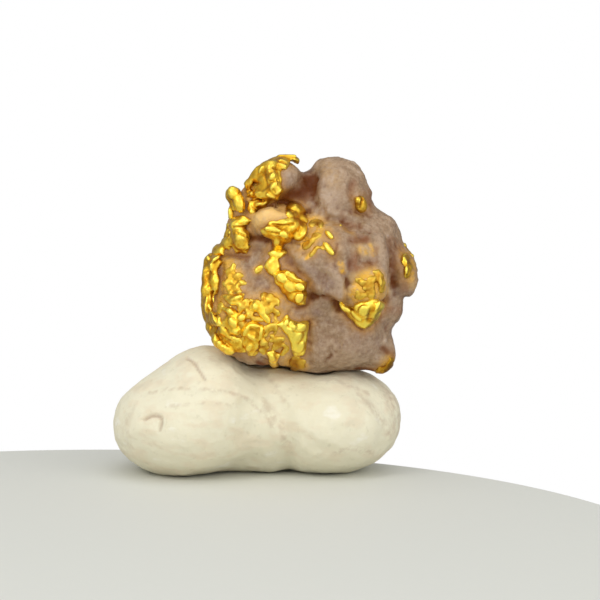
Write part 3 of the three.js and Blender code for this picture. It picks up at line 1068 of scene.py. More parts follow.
FRONT_PAINT = Paint(
    FRONT,
    rust=(
        Stroke(((3.0, 19.3), (2.8, 18.7), (1.9, 18.3), (1.2, 18.2)), 1.0, 1.0),
        Stroke(((-0.6, 17.5), (0.4, 17.95), (1.4, 18.0), (2.4, 17.9)), 0.42, 1.0),
        Stroke(((5.9, 19.3), (5.8, 18.6), (6.2, 17.6)), 0.5, 0.55),
        Stroke(((7.1, 18.6), (7.0, 17.4)), 0.5, 0.6),
        Stroke(((8.5, 15.4), (8.6, 14.2), (8.7, 12.6)), 0.55, 0.8),
        Stroke(((9.2, 15.0), (9.2, 13.8), (9.4, 12.3)), 0.5, 0.6),
        Stroke(((5.9, 15.4), (6.8, 15.5)), 0.5, 0.9),
        Stroke(((6.1, 14.6), (6.0, 13.7), (6.6, 13.6), (7.3, 14.0)), 0.55, 0.8),
        Stroke(((7.4, 14.9), (7.2, 14.2)), 0.4, 0.7),
        Stroke(((3.0, 15.5), (3.6, 15.9)), 1.0, 0.55),
        Stroke(((1.4, 14.7), (1.8, 13.9), (2.6, 13.0), (3.2, 12.0)), 0.6, 0.55),
        Stroke(((-1.0, 15.6), (0.3, 15.4), (1.0, 14.6)), 0.4, 0.7),
        Stroke(((-3.0, 14.4), (-2.2, 14.5), (-1.2, 14.3)), 0.35, 0.9),
        Stroke(((-2.9, 14.0), (-2.9, 12.8), (-3.1, 11.4)), 0.5, 0.9),
        Stroke(((-2.6, 12.1), (-1.6, 12.0)), 0.4, 0.7),
        Stroke(((-2.9, 11.0), (-2.4, 10.5)), 0.6, 0.75),
        Stroke(((-1.7, 10.6), (-0.8, 10.2), (0.2, 9.4), (0.9, 8.6)), 1.1, 0.3),
        Stroke(((-1.5, 8.9), (-1.6, 9.8), (-1.2, 10.3)), 0.3, 1.0),
        Stroke(((0.1, 12.2), (0.9, 11.6), (1.3, 11.0)), 0.6, 0.6),
        Stroke(((2.2, 14.8), (3.4, 14.6)), 0.6, 0.5),
        Stroke(((0.0, 7.2), (1.0, 6.9), (1.6, 6.7)), 0.4, 1.0),
        Stroke(((8.0, 8.1), (8.5, 7.7), (8.0, 7.0), (7.0, 6.8)), 0.5, 0.8),
        Stroke(((4.2, 11.7), (5.0, 11.2), (5.8, 10.2), (6.6, 9.5)), 0.4, 0.75),
        Stroke(((7.4, 9.9), (7.9, 10.6), (8.3, 11.6)), 0.4, 0.6),
        Stroke(((3.0, 11.9), (3.0, 11.2), (2.2, 11.0)), 0.4, 0.7),
        Stroke(((5.2, 17.2), (5.6, 16.6), (6.4, 16.3)), 0.35, 0.5),
    ),
    honey=(
        Stroke(((-0.3, 17.0), (0.6, 17.2), (1.6, 17.3)), 1.1, 1.3),
        Stroke(((-1.3, 17.4), (-1.1, 18.4), (-1.1, 19.2)), 0.6, 0.9),
        Stroke(((3.0, 16.4), (3.7, 16.2), (3.2, 15.4), (2.6, 15.0)), 1.2, 1.0),
        Stroke(((0.4, 11.7), (0.7, 11.3)), 0.8, 0.8),
        Stroke(((-2.3, 13.6), (-2.2, 12.7), (-2.0, 11.9)), 1.1, 0.85),
        Stroke(((-2.6, 10.9), (-1.2, 10.2), (0.2, 9.8)), 1.4, 1.0),
        Stroke(((-2.4, 9.6), (-0.8, 9.2), (0.6, 8.4)), 1.4, 1.0),
        Stroke(((-0.6, 11.4), (0.6, 11.6), (1.2, 11.0)), 1.1, 0.9),
        Stroke(((-1.0, 19.4), (-0.2, 20.3), (1.0, 20.8)), 0.9, 0.9),
        Stroke(((-1.1, 18.2), (0.0, 18.4)), 0.7, 0.8),
        Stroke(((0.6, 9.1), (1.3, 8.5), (1.4, 7.8)), 0.9, 0.95),
        Stroke(((1.7, 7.4), (2.5, 7.1)), 0.7, 0.9),
        Stroke(((-0.3, 13.5),), 0.6, 0.6),
        Stroke(((6.3, 12.2), (7.0, 12.9), (7.4, 12.0)), 1.3, 1.1),
        Stroke(((6.4, 14.9), (7.1, 14.8)), 0.8, 0.5),
        Stroke(((9.5, 14.4), (9.8, 13.2), (9.9, 12.4)), 0.5, 0.5),
        Stroke(((8.2, 7.6), (7.9, 6.9)), 0.5, 0.7),
        Stroke(((-1.1, 19.2), (-0.7, 18.6)), 0.5, 0.8),
        Stroke(((0.3, 20.1), (0.3, 19.2)), 0.8, 0.5),
    ),
    # paler quartz windows, and a painted highlight on the ridges, the crest's bare knuckle and the lump under
    # it
    light=(
        Stroke(((4.3, 13.4), (5.0, 12.9), (5.1, 11.8)), 0.55, 0.8),
        Stroke(((7.6, 15.8), (7.9, 14.6), (8.2, 13.2), (8.3, 11.2)), 0.45, 0.75),
        Stroke(((4.4, 20.6), (4.9, 19.5), (5.1, 18.0)), 1.1, 0.45),
        Stroke(((8.7, 11.4), (8.6, 10.5)), 0.5, 0.6),
        Stroke(((6.9, 8.2), (5.2, 7.6)), 1.0, 0.4),
        Stroke(((-0.2, 7.7),), 0.45, 0.9),
        Stroke(((3.4, 17.2), (4.8, 17.4)), 0.7, 0.4),
        Stroke(((7.4, 16.6),), 0.9, 0.3),
        Stroke(((0.2, 14.4),), 0.5, 0.4),
        Stroke(((-0.5, 19.3), (-0.1, 19.3)), 0.5, 1.0),
        Stroke(((0.3, 20.08),), 0.3, 1.0),
        Stroke(((1.5, 20.0), (1.9, 19.4)), 0.7, 0.5),
        Stroke(((-0.2, 17.0), (1.4, 17.2)), 0.9, 0.7),
    ),
    # painted shade: crevices, recesses, under the gold and along the stone's foot
    dark=(
        Stroke(((2.9, 19.0), (2.4, 18.65), (1.9, 18.45), (1.3, 18.3)), 0.62, 0.95),
        Stroke(((3.2, 19.5), (3.0, 18.8), (2.6, 18.3)), 0.4, 0.45),
        Stroke(((-0.6, 17.55), (0.3, 17.93), (1.2, 18.03), (2.2, 17.85), (2.6, 17.4)), 0.24, 0.9),
        Stroke(((-0.65, 18.2), (-0.15, 18.15)), 0.22, 1.0),
        Stroke(((-1.15, 19.0), (-1.15, 17.3)), 0.25, 0.7),
        Stroke(((8.5, 15.2), (8.6, 14.2), (8.7, 12.8), (9.0, 12.1)), 0.4, 0.2),
        Stroke(((6.0, 15.4), (6.8, 15.5)), 0.3, 0.3),
        Stroke(((5.7, 13.9), (5.7, 13.5)), 0.3, 0.5),
        Stroke(((2.1, 15.3), (2.5, 15.2), (2.85, 15.8), (2.7, 16.5)), 0.2, 0.7),
        Stroke(((-1.0, 15.55), (0.0, 15.7), (0.6, 15.3)), 0.25, 0.7),
        Stroke(((-2.9, 14.35), (-2.0, 14.4), (-1.0, 14.35)), 0.2, 0.6),
        Stroke(((-2.95, 13.6), (-3.0, 12.4), (-3.3, 11.5)), 0.2, 0.6),
        Stroke(((-0.4, 7.3), (0.1, 7.05), (1.2, 6.75)), 0.32, 0.95),
        Stroke(((6.2, 6.9), (7.2, 6.7)), 0.3, 0.9),
        Stroke(((7.9, 8.3), (8.2, 8.0)), 0.3, 0.6),
        Stroke(((5.1, 11.0), (5.8, 10.2), (6.5, 9.55)), 0.25, 0.7),
        Stroke(((3.0, 11.9), (2.9, 11.2), (2.2, 10.95)), 0.22, 0.7),
        Stroke(((-1.5, 9.9), (-1.65, 9.2), (-1.6, 8.6)), 0.16, 0.7),
        Stroke(((4.9, 15.2), (4.75, 14.6)), 0.16, 0.6),
    ),
    film=(
        Stroke(((-0.8, 19.2), (-0.5, 20.0), (0.5, 20.6), (1.4, 20.9)), 0.7, 0.8),
        Stroke(((0.2, 19.4), (0.7, 18.8), (0.2, 18.4), (-0.8, 18.3)), 0.7, 0.7),
        Stroke(((2.6, 16.8), (3.6, 16.6), (3.4, 15.8), (2.6, 15.2)), 0.6, 0.9),
        Stroke(((2.8, 14.2), (3.4, 14.9)), 0.22, 0.9),
        Stroke(((-2.4, 13.8), (-2.0, 13.2), (-1.8, 12.6), (-2.4, 12.2)), 0.8, 0.75),
        Stroke(((-0.4, 13.5),), 0.4, 0.8),
        Stroke(((0.1, 11.5), (0.8, 11.6)), 0.6, 1.0),
        Stroke(((-2.4, 10.9), (-1.2, 10.6), (0.2, 10.6), (1.0, 9.8)), 1.0, 0.85),
        Stroke(((-2.6, 9.8), (-1.4, 9.0), (0.0, 8.8), (1.2, 8.8)), 0.9, 0.85),
        Stroke(((-2.8, 11.6), (-2.4, 10.4), (-2.2, 9.4), (-1.2, 8.4)), 0.5, 0.8),
        Stroke(((0.8, 9.0), (1.4, 8.3)), 0.5, 0.8),
        Stroke(((1.7, 7.3), (2.5, 7.1)), 0.6, 0.7),
        Stroke(((5.1, 13.9), (5.25, 13.4)), 0.35, 0.7),
        Stroke(((6.5, 14.8), (6.9, 14.7)), 0.4, 0.5),
        Stroke(((7.1, 15.1), (7.3, 14.5)), 0.25, 0.5),
        Stroke(((6.3, 11.9), (6.7, 12.7), (7.3, 12.9), (7.6, 12.4), (7.2, 11.9)), 0.9, 1.2),
        Stroke(((5.9, 11.8), (6.2, 12.4)), 0.4, 0.8),
        Stroke(((9.4, 14.5), (9.8, 13.8), (9.7, 13.0)), 0.5, 0.7),
        Stroke(((8.3, 7.5), (8.0, 6.9)), 0.4, 0.7),
        Stroke(((4.2, 20.3), (4.7, 19.4)), 0.9, 0.12),
    ),
)

BACK_PAINT = Paint(
    BACK,
    rust=(
        Stroke(((-2.6, 12.6), (-3.6, 12.0), (-5.2, 11.8)), 0.6, 0.8),
        Stroke(((2.6, 13.6), (2.5, 12.0), (2.0, 10.8)), 0.6, 0.8),
        Stroke(((-5.2, 17.4), (-4.2, 16.4), (-3.6, 15.2)), 0.5, 0.7),
        Stroke(((-7.4, 9.6), (-6.4, 10.0), (-5.2, 9.6)), 0.5, 0.7),
        Stroke(((-0.4, 10.8), (0.6, 10.9), (1.8, 10.8)), 0.5, 0.8),
        Stroke(((-8.6, 14.4), (-8.2, 12.8), (-8.4, 11.4)), 0.7, 0.6),
        Stroke(((0.4, 18.2), (-0.8, 17.4), (-2.0, 17.2)), 0.6, 0.6),
        Stroke(((-3.4, 8.4), (-2.2, 8.0), (-1.2, 8.4)), 0.6, 0.6),
    ),
    honey=(
        Stroke(((-1.6, 12.4), (-0.4, 13.2), (1.2, 12.9)), 1.4, 0.9),
        Stroke(((-4.8, 11.4), (-3.4, 11.6)), 1.0, 0.9),
        Stroke(((-6.4, 15.6), (-5.0, 16.0)), 1.0, 0.8),
        Stroke(((-6.6, 9.2), (-5.6, 9.0)), 1.0, 0.8),
        Stroke(((0.4, 9.9), (1.8, 10.2)), 1.1, 0.9),
    ),
    # paler quartz, partly a painted highlight on raised parts
    light=(
        Stroke(((-4.6, 20.4), (-4.9, 19.0)), 1.2, 0.6),
        Stroke(((-7.6, 13.6), (-6.6, 12.6)), 0.9, 0.6),
        Stroke(((-3.0, 14.4), (-3.6, 13.6)), 0.7, 0.6),
        Stroke(((-1.6, 9.6), (-2.4, 9.2)), 0.7, 0.6),
        Stroke(((0.6, 16.2), (1.6, 15.4)), 0.9, 0.5),
    ),
    # painted shade in crevices beside the gold
    dark=(
        Stroke(((-2.9, 12.4), (-3.7, 11.9), (-5.0, 11.8)), 0.24, 0.7),
        Stroke(((2.55, 13.4), (2.5, 12.0), (2.1, 11.0)), 0.22, 0.7),
        Stroke(((-0.2, 10.85), (1.6, 10.85)), 0.22, 0.7),
        Stroke(((-7.2, 9.7), (-6.2, 10.0)), 0.22, 0.6),
        Stroke(((-2.4, 18.4), (-2.8, 19.2)), 0.5, 0.7),
    ),
    film=(
        Stroke(((-1.8, 12.6), (-0.6, 13.4), (1.2, 13.2)), 1.2, 0.8),
        Stroke(((-4.6, 11.6), (-3.0, 11.6)), 0.8, 0.8),
        Stroke(((-6.2, 15.6), (-5.0, 16.2)), 0.8, 0.7),
        Stroke(((-6.4, 9.2), (-5.6, 9.0)), 0.8, 0.7),
        Stroke(((0.4, 10.0), (1.8, 10.2)), 1.0, 0.8),
    ),
)
LEFT_PAINT = Paint(
    LEFT,
    rust=(
        Stroke(((0.2, 16.2), (-0.6, 14.8), (-0.4, 13.6)), 0.6, 0.7),
        Stroke(((-2.2, 12.8), (-2.6, 11.2), (-2.0, 9.6)), 0.7, 0.7),
        Stroke(((-3.2, 16.8), (-2.2, 15.8)), 0.6, 0.6),
    ),
    honey=(
        Stroke(((-0.4, 13.4), (-0.8, 12.0), (-1.0, 10.6)), 1.3, 0.9),
        Stroke(((0.8, 15.8), (0.4, 16.6)), 0.9, 0.7),
    ),
    film=(Stroke(((-0.4, 13.4), (-0.8, 12.0), (-1.2, 10.4)), 1.0, 0.8),),
)
RIGHT_PAINT = Paint(
    RIGHT,
    rust=(
        Stroke(((1.4, 15.0), (1.8, 13.4), (1.4, 11.8)), 0.6, 0.7),
        Stroke(((-2.6, 10.4), (-1.4, 10.0), (0.2, 10.2)), 0.5, 0.7),
        Stroke(((0.6, 17.6), (1.2, 16.8), (2.0, 16.2)), 0.6, 0.6),
    ),
    honey=(
        Stroke(((0.4, 13.8), (0.8, 12.2)), 1.0, 0.8),
        Stroke(((1.6, 9.6), (2.6, 9.4)), 0.9, 0.7),
    ),
    film=(Stroke(((0.4, 13.6), (0.8, 12.4)), 0.8, 0.7), Stroke(((1.8, 9.6), (2.6, 9.4)), 0.7, 0.6)),
)


@dataclass
class QuartzStone:
    """The piece of milky quartz, carved from its solid.

    Attributes:
        skin: side of a face of its skin, in millimetres.
        relief: for each size of its bumps, their width and height in millimetres.
        hollows: for each width of hollow, the rounds that find it and its painted shade for each millimetre.
        light_cover: how much of the gold's stain, and the painted shade at the gold's edge, the paler quartz
            hides, 0 to 1.
        stain_reach: farthest that gold stains the stone, in millimetres.
        stain_and_shade_fade: distance over which the stain and the painted shade at the gold's edge fade, in
            millimetres.
        carving: strokes of the carving tool on its front.
    """

    skin: float = 0.1
    relief: tuple[tuple[float, float], ...] = ((1.3, 0.34), (0.6, 0.16), (0.38, 0.06))
    hollows: tuple[tuple[int, float], ...] = ((60, 4.5), (6, 10.0))
    light_cover: float = 0.8
    stain_reach: float = 1.2
    stain_and_shade_fade: float = 0.35
    carving: tuple[Stroke, ...] = (
        Stroke(((3.0, 19.6), (2.8, 18.9), (2.2, 18.4), (1.2, 18.15)), 1.0, -0.5),
        Stroke(((-0.6, 17.6), (0.4, 17.95), (1.4, 18.0), (2.3, 17.85)), 0.28, -0.35),
        Stroke(((-0.65, 18.2), (-0.15, 18.18)), 0.22, -0.35),
        Stroke(((8.5, 15.4), (8.6, 14.2), (8.7, 12.6)), 0.6, -0.1),
        Stroke(((7.7, 15.6), (7.9, 14.4), (8.1, 13.0), (8.3, 11.4)), 0.45, 0.22),
        Stroke(((4.4, 13.4), (5.0, 12.9), (5.1, 11.7)), 0.5, 0.3),
        Stroke(((3.2, 11.7), (4.2, 11.5), (5.0, 10.9)), 0.45, -0.3),
        Stroke(((5.9, 19.2), (5.9, 18.4), (6.3, 17.4), (7.0, 17.2)), 0.45, -0.1),
        Stroke(((5.1, 17.0), (5.6, 16.4), (6.5, 15.9)), 0.4, -0.15),
        Stroke(((5.9, 15.4), (6.8, 15.5)), 0.4, -0.12),
        Stroke(((6.4, 16.4), (7.0, 16.0)), 0.3, -0.18),
        Stroke(((5.8, 14.7), (5.7, 13.7)), 0.4, -0.14),
        Stroke(((6.3, 14.9), (6.6, 14.1), (7.3, 14.0)), 0.4, -0.14),
        Stroke(((4.4, 17.3), (5.2, 17.1), (6.2, 16.9)), 0.4, 0.2),
        Stroke(((0.8, 10.55),), 0.45, -0.15),
        Stroke(((1.4, 14.7), (1.9, 13.8), (2.9, 12.8), (3.1, 11.6)), 0.5, -0.2),
        Stroke(((-1.0, 15.6), (0.3, 15.45), (0.9, 14.9)), 0.4, -0.18),
        Stroke(((-2.9, 14.4), (-2.2, 14.5), (-1.2, 14.2)), 0.35, -0.12),
        Stroke(((-2.85, 13.8), (-2.9, 12.6), (-3.1, 11.4)), 0.4, -0.22),
        Stroke(((3.05, 7.2), (3.1, 8.6), (3.0, 9.9)), 0.3, -0.12),
        Stroke(((-0.2, 7.5), (1.2, 6.9)), 0.3, -0.25),
        Stroke(((4.1, 7.3), (4.5, 7.7)), 0.25, -0.15),
        Stroke(((3.4, 8.6),), 1.1, 0.1),
        Stroke(((5.6, 8.1),), 1.2, 0.12),
        Stroke(((9.5, 11.5),), 0.35, -0.25, through=True),
        Stroke(((8.9, 6.6), (8.5, 6.4)), 0.35, -0.2, through=True),
    )

    def carve(self, node: bpy.types.Object) -> bpy.types.Object:
        """Carves the stone's main form.

        Args:
            node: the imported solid.

        Returns:
            The stone in millimetres, without its fine relief.
        """
        stone = Bench.take(node, "quartz_stone")
        Bench.fuse([stone], self.skin, 1)
        Bench.press(stone, self.carving, FRONT)
        Bench.smooth(stone, 1)
        return stone

    def weather(self, stone: bpy.types.Object) -> None:
        """Gives the stone its fine relief.

        Args:
            stone: the stone, in millimetres.
        """
        for size, height in self.relief:
            Bench.roughen(stone, size, height)
        Bench.smooth(stone, 1)

    def stain_and_shade_near_gold(self, stone: bpy.types.Object, gold: list[bpy.types.Object]) -> np.ndarray:
        """Works out how strongly the gold beside it stains the stone, and where, next to it, shade is
        painted.

        Args:
            stone: the stone, in millimetres.
            gold: every piece of gold, in metres.

        Returns:
            The stain at each vertex, 0 to 1. From 0.7 up it also gives painted shade.
        """
        points = Bench.points(stone)
        gold_stain_and_shade = np.zeros(len(points))
        for growth, piece in zip(GROWTHS, gold):
            box = np.array(piece.bound_box) / MM
            least, most = box.min(0) - self.stain_reach, box.max(0) + self.stain_reach
            tree = Bench.tree(piece)
            for k in np.flatnonzero(np.all((points > least) & (points < most), axis=1)):
                far = tree.find_nearest(Vector(points[k]) * MM)[3] / MM
                gold_stain_and_shade[k] = max(gold_stain_and_shade[k], (1.0 - growth.dull) * math.exp(-far / self.stain_and_shade_fade))
        return gold_stain_and_shade

    def dress(self, stone: bpy.types.Object, paints: tuple[Paint, ...], gold: list[bpy.types.Object]) -> None:
        """Colours the stone by its forms and its gold: iron stain, painted shade in its hollows, crevices and
        at the gold's edge. Finishes it.

        Args:
            stone: the stone, in millimetres.
            paints: the strokes that colour it.
            gold: every piece of gold, in metres.
        """
        tints = {}
        for kind in ("rust", "honey", "light", "dark", "film"):
            faces = [Bench.tint(stone, getattr(paint, kind), paint.face) for paint in paints]
            tints[kind] = np.max(faces, axis=0)
            Bench.tag(stone, kind, tints[kind])
        # iron stain near the gold; its strongest share, at the gold's edge, is painted shade
        Bench.tag(stone, "gold_stain_and_shade", self.stain_and_shade_near_gold(stone, gold) * (1.0 - self.light_cover * tints["light"]))
        # painted shade in the stone's hollows
        deep_shade = Bench.hollowness(stone, self.hollows)
        Bench.tag(stone, "hollow_shade", np.clip(deep_shade - 0.1, 0.0, 0.9))
        Bench.done(stone, Slot.QUARTZ, MilkyQuartz().material(), "quartz")


# ---------------------------------------------------------------- the gold
SHEET_MARGIN = 0.07  # mm that a sheet is larger than its outline
SHEET_TAPER = 2.0  # mm that it narrows by, for each unit that it turns from the eye past its wrap
SHEET_SPARE = 0.3  # mm of the bed kept round it until its edge is cut finely
SHEET_HEM = 0.08  # mm kept round it then
SHEET_SINK = 0.06  # mm that the hem lies in the bed
SHEET_DEPTH = 0.25  # mm that it reaches down into the bed
SHEET_ROUNDING = 1.3  # width of the rounding of its edge, in times its rise
LEAST_ROUNDING = 0.12  # mm, the least width of that
MOST_LEAN = 0.6  # how far it rises towards the eye, against 1 square to the bed
RAGGED_WAVE = 0.7  # mm, the size of the waves in its edge
KNOB_SIZES = ((0.5, 1.0), (0.26, 0.6))  # width of each size of knob in mm, and its share of their height
GOLD_HOLLOWS = ((40, 4.0), (8, 8.0))  # for each width of hollow, its rounds and its painted shade for each mm
CROWN_GAIN = 2.5  # how much faster the painted highlight on the gold's bumps grows than the painted shade in its hollows
CONTACT = 0.55  # painted shade on the gold where it meets the stone, at its strongest
CONTACT_FADE = 0.09  # mm from the stone over which that fades
BED_ROUNDS = 8  # rounds that rub out the stone's finest relief under the gold
SKIN_ROUNDS = 5  # rounds that rub a growth's beads and sheets together


@dataclass
class Bed:
    """The surface that the gold grows on.

    Attributes:
        piece: the stone's surface without its finest relief, in millimetres.
        form: its search tree.
        ball: the ball that each bead is a copy of.
    """

    piece: bpy.types.Object
    form: BVHTree
    ball: bpy.types.Object

    @classmethod
    def of(cls, stone: bpy.types.Object) -> Bed:
        """Makes the bed.

        Args:
            stone: the stone with its relief, in millimetres.

        Returns:
            The bed.
        """
        piece = Bench.duplicate(stone, "bed")
        Bench.smooth(piece, BED_ROUNDS)
        bpy.ops.object.select_all(action="DESELECT")
        bpy.ops.mesh.primitive_ico_sphere_add(subdivisions=4, radius=1.0)
        return cls(piece, Bench.tree(piece), bpy.context.active_object)

    def clear(self) -> None:
        """Takes the bed away when nothing more grows on it."""
        bpy.data.objects.remove(self.piece)
        bpy.data.objects.remove(self.ball)


@dataclass(frozen=True)
class GoldGrowth:
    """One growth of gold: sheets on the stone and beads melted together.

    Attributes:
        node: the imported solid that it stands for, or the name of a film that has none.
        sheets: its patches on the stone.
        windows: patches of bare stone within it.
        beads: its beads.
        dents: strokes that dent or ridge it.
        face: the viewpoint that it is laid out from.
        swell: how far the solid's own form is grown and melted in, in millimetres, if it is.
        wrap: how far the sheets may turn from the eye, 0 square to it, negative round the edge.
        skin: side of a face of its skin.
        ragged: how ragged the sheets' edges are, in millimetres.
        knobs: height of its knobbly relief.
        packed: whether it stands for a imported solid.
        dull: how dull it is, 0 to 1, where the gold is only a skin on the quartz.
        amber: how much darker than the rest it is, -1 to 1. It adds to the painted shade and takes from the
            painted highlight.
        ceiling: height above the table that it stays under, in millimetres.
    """

    node: str
    sheets: tuple[Sheet | Dab, ...] = ()
    windows: tuple[Dab, ...] = ()
    beads: tuple[Bead, ...] = ()
    dents: tuple[Stroke, ...] = ()
    face: Viewpoint = FRONT
    swell: float | None = None
    wrap: float = 0.05
    skin: float = 0.06
    ragged: float = 0.06
    knobs: float = 0.08
    packed: bool = True
    dull: float = 0.0
    amber: float = 0.0
    ceiling: float = math.inf

    def cover(self, piece: bpy.types.Object) -> tuple[np.ndarray, np.ndarray]:
        """Works out how far inside a sheet each vertex lies.

        Args:
            piece: the piece, in millimetres.

        Returns:
            For each vertex the distance inside, negative outside, and the sheet's rise.
        """
        points = Bench.points(piece)
        places = self.face.lay(points)
        best, rise = np.full(len(points), -math.inf), np.zeros(len(points))
        for sheet in self.sheets:
            inside = sheet.inside(places)
            rise = np.where(inside > best, sheet.rise, rise)
            best = np.maximum(best, inside)
        for window in self.windows:
            best = np.minimum(best, -window.inside(places))
        x, y, z = points.T / RAGGED_WAVE
        # uneven waves, so that the edge doesn't repeat
        wobble = np.sin(x * 2.9 + 1.7 * np.sin(z * 2.3)) * np.sin(z * 3.1 + 1.3 * np.sin(x * 1.9 + y))
        shown = SHEET_TAPER * (self.face.facing(points, Bench.normals(piece)) - self.wrap)
        return np.minimum(best + SHEET_MARGIN + self.ragged * wobble, shown), rise

    def plate(self, bed: bpy.types.Object) -> bpy.types.Object:
        """Lifts the sheets off the bed's surface, with rounded edges, and thickens them inwards.

        Args:
            bed: the bed's surface, which is left as it is.

        Returns:
            The sheets, in millimetres.
        """
        plate = Bench.duplicate(bed, self.node + "_plate")
        Bench.keep_only(plate, self.cover(plate)[0] > -SHEET_SPARE)
        Bench.subdivide(plate, 1)
        Bench.keep_only(plate, self.cover(plate)[0] > -SHEET_HEM)
        inside, rise = self.cover(plate)
        share = np.clip(inside / np.maximum(SHEET_ROUNDING * rise, LEAST_ROUNDING), 0.0, 1.0)
        height = np.where(inside > 0.0, rise * np.sqrt(1.0 - (1.0 - share) ** 2), -SHEET_SINK)
        points, normals = Bench.points(plate), Bench.normals(plate)
        lean = np.clip(self.face.facing(points, normals), 0.0, MOST_LEAN)
        way = normals + lean[:, None] * np.array(self.face.back)
        way *= (height / np.linalg.norm(way, axis=1))[:, None]
        Bench.work(plate, "SOLIDIFY", thickness=SHEET_DEPTH, offset=-1.0)
        thick = Bench.points(plate)
        thick[: len(points)] += way  # the solid's outer side, which comes first
        Bench.move(plate, thick)
        return plate

    def build(self, node: bpy.types.Object | None, bed: Bed) -> bpy.types.Object:
        """Builds the growth in millimetres.

        Args:
            node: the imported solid, if it stands for one.
            bed: the surface that it grows on.

        Returns:
            The growth.
        """
        pieces = []
        if self.swell is not None:
            pieces.append(Bench.take(node, "copy"))
            Bench.move(pieces[0], Bench.points(pieces[0]) + self.swell * Bench.normals(pieces[0]))
        if self.sheets:
            pieces.append(self.plate(bed.piece))
        forms = [bed.form, *(Bench.tree(piece) for piece in pieces)]
        for bead in self.beads:
            point, normal = self.face.spot(forms, bead.x, bead.height)
            size = Matrix.Diagonal((bead.along, bead.across, bead.out, 1.0))
            turned = self.face.axes(normal, bead.turn).to_4x4()
            made = bpy.data.objects.new("bead", bed.ball.data.copy())
            made.data.transform(Matrix.Translation(point + bead.lift * normal) @ turned @ size)
            bpy.context.scene.collection.objects.link(made)
            pieces.append(made)
        growth = Bench.fuse(pieces, self.skin, SKIN_ROUNDS)
        growth.name = growth.data.name = self.node + "_grown" if self.packed else self.node
        Bench.press(growth, self.dents, self.face)
        for size, share in KNOB_SIZES:
            Bench.roughen(growth, size, share * self.knobs)
        Bench.smooth(growth, 1)
        Bench.trim(growth, 0.0, self.ceiling)
        return growth

    def finish(self, growth: bpy.types.Object, bed: Bed, gold: bpy.types.Material) -> None:
        """Tags painted shade in the growth's hollows and at its edges on the stone, and a painted highlight
        on its bumps, and finishes it.

        Args:
            growth: the growth, in millimetres.
            bed: the surface that it grows on.
            gold: its material.
        """
        # painted shade in the hollows and where the gold meets the stone; painted highlight on the bumps
        deep_shade = Bench.hollowness(growth, GOLD_HOLLOWS)
        off = np.array([bed.form.find_nearest(Vector(point))[3] for point in Bench.points(growth)])
        contact_shade = CONTACT * np.exp(-off / CONTACT_FADE)
        Bench.tag(growth, "hollow_shade", np.clip(deep_shade + self.amber + contact_shade, 0.0, 1.0))
        Bench.tag(growth, "crown_highlight", np.clip(-CROWN_GAIN * deep_shade - 0.1 - self.amber, 0.0, 1.0))
        Bench.tag(growth, "dull", np.full(len(deep_shade), self.dull))
        Bench.done(growth, Slot.GOLD, gold, *((self.node,) if self.packed else ()))


